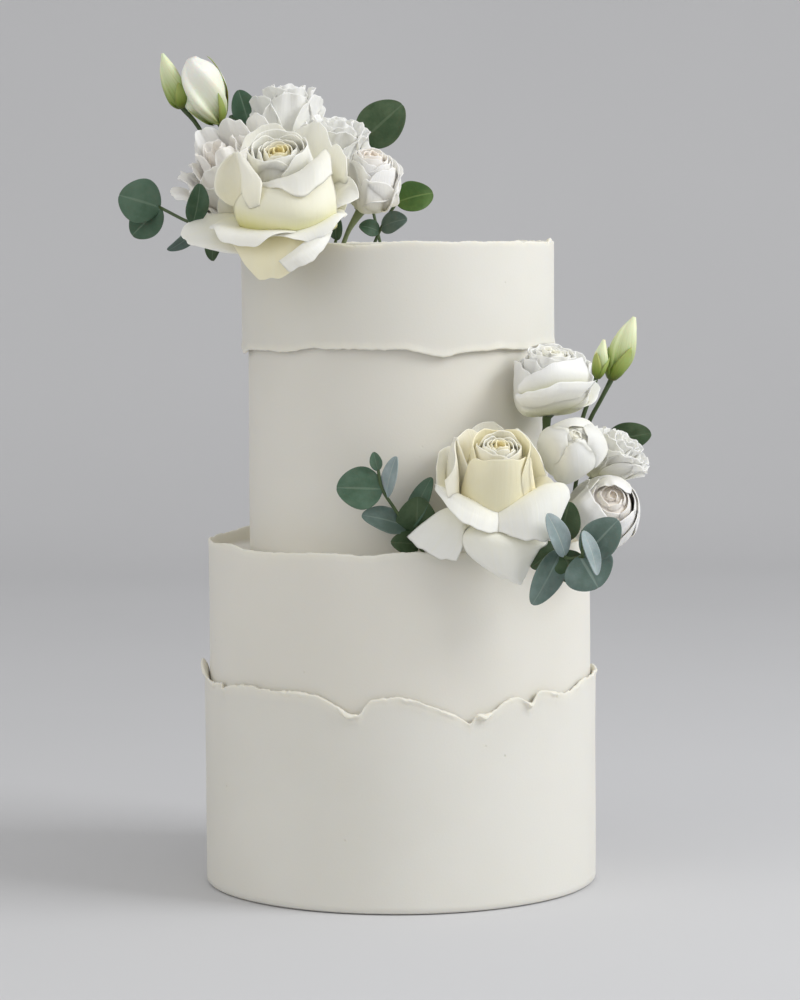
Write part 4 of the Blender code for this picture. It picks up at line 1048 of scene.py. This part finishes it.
def bud(name, stem, path, finish, sepals, twist=0.8, folds=3, depth=0.30):
    """A bud on its stem, whose paths give x, y, z and radius, with its sepals: the angle
    round the bud, the share of its length, the width and the flare of each."""
    grid, along, across = furled(path, twist, folds, depth)
    new_piece(name + "_petals", [[(grid, {"along": along, "across": across}, False)]], finish, name)
    new_piece(name + "_stem", [[(tube_points(stem, 12), {}, False)]], STEM_GREEN)
    shells = []
    for form in sepals:
        grid, along, across = sepal(path, *form)
        shells.append(thick_sheet(grid, SEPAL_WALL, {"along": along, "across": across}))
    new_piece(name + "_sepals", shells, SEPAL_GREEN)


bud("top_bud_closed",
    stem=[(-82, 6, 338, 1.1), (-90, 4, 362, 1.1), (-100, -2, 384, 1.1), (-108, -7, 394, 1.3),
          (-109.5, -8, 398, 1.5)],
    path=[(-108, -7, 394, 1.8), (-109.5, -8, 398, 4.8), (-112, -9, 406, 5.4), (-115, -10, 414, 3.8),
          (-117.5, -10, 421, 0.8)],
    finish=GREEN_BUD,
    sepals=[(20, 0.62, 8, 0.2), (140, 0.55, 8, 0.2), (260, 0.62, 8, 0.3)])
bud("top_bud_opening",
    stem=[(-76, 6, 342, 1.1), (-82, 3, 368, 1.1), (-89, -4, 385, 1.3), (-91, -7, 389, 1.6)],
    path=[(-90, -5, 386.5, 2.5), (-91.5, -7, 390, 6.5), (-95, -10, 398, 10.4), (-98.5, -12, 407, 10.0),
          (-101, -13, 414, 7.4), (-102.5, -14, 418.5, 3.0)],
    finish=WHITE_BUD,
    sepals=[(40, 0.45, 5, 0.6), (150, 0.5, 5, 0.8), (215, 0.96, 4, 2.5), (260, 0.45, 4, 0.8),
            (330, 0.4, 5, 0.8)],
    twist=1.3, folds=5, depth=0.34)
bud("side_bud_tall",
    stem=[(85, -26, ON_LEDGE, 1.1), (89, -27, 205, 1.1), (94, -33, 232, 1.1), (101, -37, 247, 1.1),
          (106, -39, 257, 1.4), (107.5, -40, 262, 1.8)],
    path=[(106, -39, 257, 1.8), (107.5, -40, 262, 4.8), (111, -40, 271, 6.3), (115, -40, 281, 4.3),
          (117.5, -40, 288, 1.0)],
    finish=GREEN_BUD,
    sepals=[(20, 0.55, 9, 0.3), (130, 0.6, 9, 0.4), (250, 0.55, 9, 0.4)])
bud("side_bud_small",
    stem=[(76, -36, ON_LEDGE, 1.1), (82, -36, 205, 1.1), (91, -41, 236, 1.1), (96, -45, 252, 1.2),
          (99.3, -45.5, 262, 1.4)],
    path=[(98, -45.2, 258, 1.5), (99.3, -45.5, 262, 3.0), (100.8, -45, 269, 3.5), (102, -45, 277, 0.8)],
    finish=GREEN_BUD,
    sepals=[(60, 0.75, 7, 0.2), (180, 0.7, 7, 0.2), (300, 0.75, 7, 0.2)])


# Eucalyptus: round blue-green leaves with a grey bloom, cupped about a pale midrib, in pairs on thin wiry
# stems. The dark leaf finish is partly leaves of a darker green and partly painted shade on leaves that lie
# in the flowers' shade.
def leaf_finish(name, face, bloom, rib):
    made = Finish(name, Subsurface_Weight=0.08, Subsurface_Scale=0.002, Specular_IOR_Level=0.35)
    along = made.attribute("along")
    side = made.attribute("across")
    place = made.place()
    patch = made.noise(place, 55.0, 4.0, 0.65)
    centre = 1.0 - made.ramp(side * side, 0.0, 0.006)
    branch = made.noise(made.vector(side * side * 4.0, along * 9.0, 0.0), 2.2, 3.0)
    colour = made.blend(made.ramp(patch, 0.35, 0.7), face, bloom)
    colour = made.blend(made.ramp(side * side, 0.80, 1.0) * 0.45, colour, bloom)
    colour = made.blend(centre * 0.5, colour, rib)
    return made.wear(Base_Color=colour, Roughness=0.44 + patch * 0.2,
                     Normal=made.bump(branch * 0.6 - centre * 0.8, 0.3, 0.0006))


BLUE_LEAF = leaf_finish("eucalyptus_leaf", face=(0.040, 0.092, 0.050), bloom=(0.085, 0.150, 0.100),
                        rib=(0.17, 0.24, 0.17))
PALE_LEAF = leaf_finish("eucalyptus_leaf_pale", face=(0.085, 0.135, 0.112), bloom=(0.150, 0.215, 0.195),
                        rib=(0.24, 0.31, 0.27))
SILVER_LEAF = leaf_finish("eucalyptus_leaf_underside", face=(0.24, 0.31, 0.31), bloom=(0.38, 0.45, 0.46),
                          rib=(0.45, 0.5, 0.45))
# Partly a darker green and partly painted shade: a darker copy of the leaf finish for leaves that lie in
# shade
SHADED_DARK_LEAF = leaf_finish("eucalyptus_leaf_dark", face=(0.028, 0.062, 0.022), bloom=(0.070, 0.115, 0.055),
                        rib=(0.11, 0.16, 0.09))
FRESH_LEAF = leaf_finish("eucalyptus_leaf_fresh", face=(0.030, 0.085, 0.008), bloom=(0.085, 0.160, 0.030),
                         rib=(0.19, 0.27, 0.08))


LEAF_CUP = 1.0
LEAF_ARCH = 1.5
LEAF_WALL = 0.5


def leaf(foot, tip, facing, width):
    """Grid of a leaf from foot to tip, broad in the middle: half its width goes with the
    root of sin(pi v). Its sides rise as |u| to the power 1.5, its length arches as
    4v(1 - v), and its rim is wavy."""
    foot = np.array(foot, dtype=float)
    along = np.array(tip, dtype=float) - foot
    ahead = along / np.linalg.norm(along)
    side = np.cross(ahead, np.array(facing, dtype=float))
    side = side / np.linalg.norm(side)
    face = np.cross(side, ahead)
    v = (0.5 - 0.5 * np.cos(math.pi * np.linspace(0.0, 1.0, 27)))[:, None, None]
    u = np.sin(0.5 * math.pi * np.linspace(-1.0, 1.0, 21))[None, :, None]
    outline = np.sin(math.pi * np.clip(v, 0.0, 1.0)) ** 0.5 * (1.0 + 0.08 * np.cos(math.pi * v))
    lift = LEAF_CUP * np.abs(u) ** 1.5 * outline + LEAF_ARCH * 4.0 * v * (1.0 - v)
    lift = lift + 0.035 * width * outline * u ** 2 * np.sin(6.0 * v + 3.0 * u + 0.3 * foot[2])
    grid = foot + along * v + side * (0.5 * width) * outline * u + face * lift
    return grid, (v + 0.0 * u)[..., 0], (u + 0.0 * v)[..., 0]


TWIG_RADIUS = 0.8


def sprig(name, stems, leaves):
    """Thin stems as paths, and leaves that each have a foot on a stem, a tip, the way they
    face, a width and a finish. The leaves of one finish are one piece."""
    shells = [[(tube_points([(*point, TWIG_RADIUS) for point in stem], 10), {}, False)] for stem in stems]
    new_piece(name + "_stems", shells, STEM_GREEN)
    for finish in (BLUE_LEAF, PALE_LEAF, SILVER_LEAF, SHADED_DARK_LEAF, FRESH_LEAF):
        shells = []
        for foot, tip, facing, width, look in leaves:
            if look is finish:
                grid, along, across = leaf(foot, tip, facing, width)
                shells.append(thick_sheet(grid, LEAF_WALL, {"along": along, "across": across}))
        if shells:
            suffix = finish.name.replace("eucalyptus_", "")
            new_piece(name + "_" + suffix, shells, finish)
    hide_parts(name)


# Sprigs on the top: one reaches out to the left, two stand behind the flowers and one is
# at the right, with a fresh green leaf
sprig("eucalyptus_top_left",
      stems=[[(-63, -28, ON_TOP), (-70, -30, 329), (-78, -32, 331), (-90, -33, 332), (-103, -32, 336),
              (-119, -24, 344)],
             [(-98, -32, 334.7), (-101, -40, 334), (-101, -47, 336)]],
      leaves=[((-118.5, -24, 343.7), (-139, -23, 350), (0.3, -1, 0.1), 23, BLUE_LEAF),
              ((-118, -24.5, 343.5), (-133, -19, 330), (0.2, -1, 0.3), 17, BLUE_LEAF),
              ((-101, -46, 335.5), (-97, -50, 355), (0.5, -1, 0), 12, BLUE_LEAF),
              ((-98, -32, 334.6), (-115, -26, 322.5), (0, -0.6, -1), 9, PALE_LEAF),
              ((-89, -33, 332), (-92, -36, 317), (-0.5, -1, 0.2), 10, SHADED_DARK_LEAF)])
sprig("eucalyptus_top_back",
      stems=[[(-50, 48, ON_TOP), (-60, 49, 350), (-72, 48, 378), (-77, 46, 387)]],
      leaves=[((-76.5, 46, 386), (-82, 43, 405), (0.1, -1, 0.2), 14, BLUE_LEAF),
              ((-75, 47, 384), (-87, 40, 391), (-0.2, -0.6, 1), 9, SHADED_DARK_LEAF)])
sprig("eucalyptus_top_dark",
      stems=[[(-8, 12, ON_TOP), (-14, 14, 350), (-19, 17, 377)]],
      leaves=[((-19, 17, 376.5), (3, 20, 396), (0.1, -1, 0.1), 23, SHADED_DARK_LEAF)])
sprig("eucalyptus_top_right",
      stems=[[(-13, -24, ON_TOP), (-8, -24, 333), (0, -23, 346)],
             [(-32, -41, ON_TOP), (-30, -42, 328)]],
      leaves=[((-0.5, -23, 345.5), (18, -20, 350), (0.2, -1, 0.5), 17, FRESH_LEAF),
              ((-0.5, -22.5, 345), (-15, -17, 347), (0, -0.3, 1), 10, SHADED_DARK_LEAF),
              ((-8, -24, 333), (5, -31, 337), (0.2, -1, 0.5), 12, PALE_LEAF),
              ((-9, -24, 331), (-19, -26, 334), (0, -1, 0.4), 9, BLUE_LEAF),
              ((-30, -42, 327), (-29, -44, 338), (-0.5, -1, 0), 8, BLUE_LEAF)])
# Sprigs on the ledge: one to the left of the rose, one that hangs in front with silver
# undersides, and one leaf behind the flowers
sprig("eucalyptus_side_left",
      stems=[[(14, -81, ON_LEDGE), (6, -84, 184), (-2, -90, 197), (-8, -93, 207), (-10, -94, 217)]],
      leaves=[((-8, -93, 207), (-30, -95, 208), (0, -1, 0.2), 21, BLUE_LEAF),
              ((-6, -92, 203), (-1, -96, 223), (-0.7, -1, 0), 9, SILVER_LEAF),
              ((-10, -94, 216), (-12, -94, 225), (0, -1, 0), 6, BLUE_LEAF),
              ((3.5, -85.5, 188), (-18, -94, 194.5), (0, -1, 0.6), 14, PALE_LEAF),
              ((4.5, -85, 187), (16, -86, 212), (-0.6, -1, 0), 11, BLUE_LEAF),
              ((9, -83, 180), (15, -83, 194), (0, -1, 0), 10, SHADED_DARK_LEAF),
              ((8, -83.5, 181), (9, -90, 203), (0, -1, 0), 20, SHADED_DARK_LEAF),
              ((9, -83, 179), (-4, -93, 181), (0, -1, 0.3), 12, SHADED_DARK_LEAF)])
sprig("eucalyptus_side_low",
      stems=[[(74, -74, 181), (77, -92, 183), (77, -108, 179), (80, -114, 175), (88, -116, 176)],
             [(87, -116, 175.8), (87, -120, 183), (87, -123, 189)]],
      leaves=[((79, -112.5, 176), (70, -122, 197), (0.7, -1, 0.1), 12, SILVER_LEAF),
              ((77, -109, 178), (63, -119, 153.5), (0.2, -1, -0.2), 15, PALE_LEAF),
              ((85.5, -115.5, 176.5), (94.5, -117, 161), (0.1, -1, 0.3), 26, PALE_LEAF),
              ((88, -116, 176), (104, -118, 193.5), (-0.1, -1, 0.2), 18.5, PALE_LEAF),
              ((87, -123.5, 189), (93.5, -126, 168), (0.6, -1, 0), 8, SILVER_LEAF),
              ((77, -98, 181.5), (82, -101, 201), (0, -1, 0.2), 16, SHADED_DARK_LEAF),
              ((77, -104, 180), (63, -108, 170), (0, -1, 0.3), 13, SHADED_DARK_LEAF),
              ((78, -109, 178), (84, -111, 163), (0.1, -1, 0), 16, SHADED_DARK_LEAF)])
sprig("eucalyptus_side_right",
      stems=[[(78, -14, ON_LEDGE), (92, -12, 195), (105, -20, 225)]],
      leaves=[((104.5, -20, 224), (127, -24, 229), (0, -1, 0.5), 16, SHADED_DARK_LEAF)])
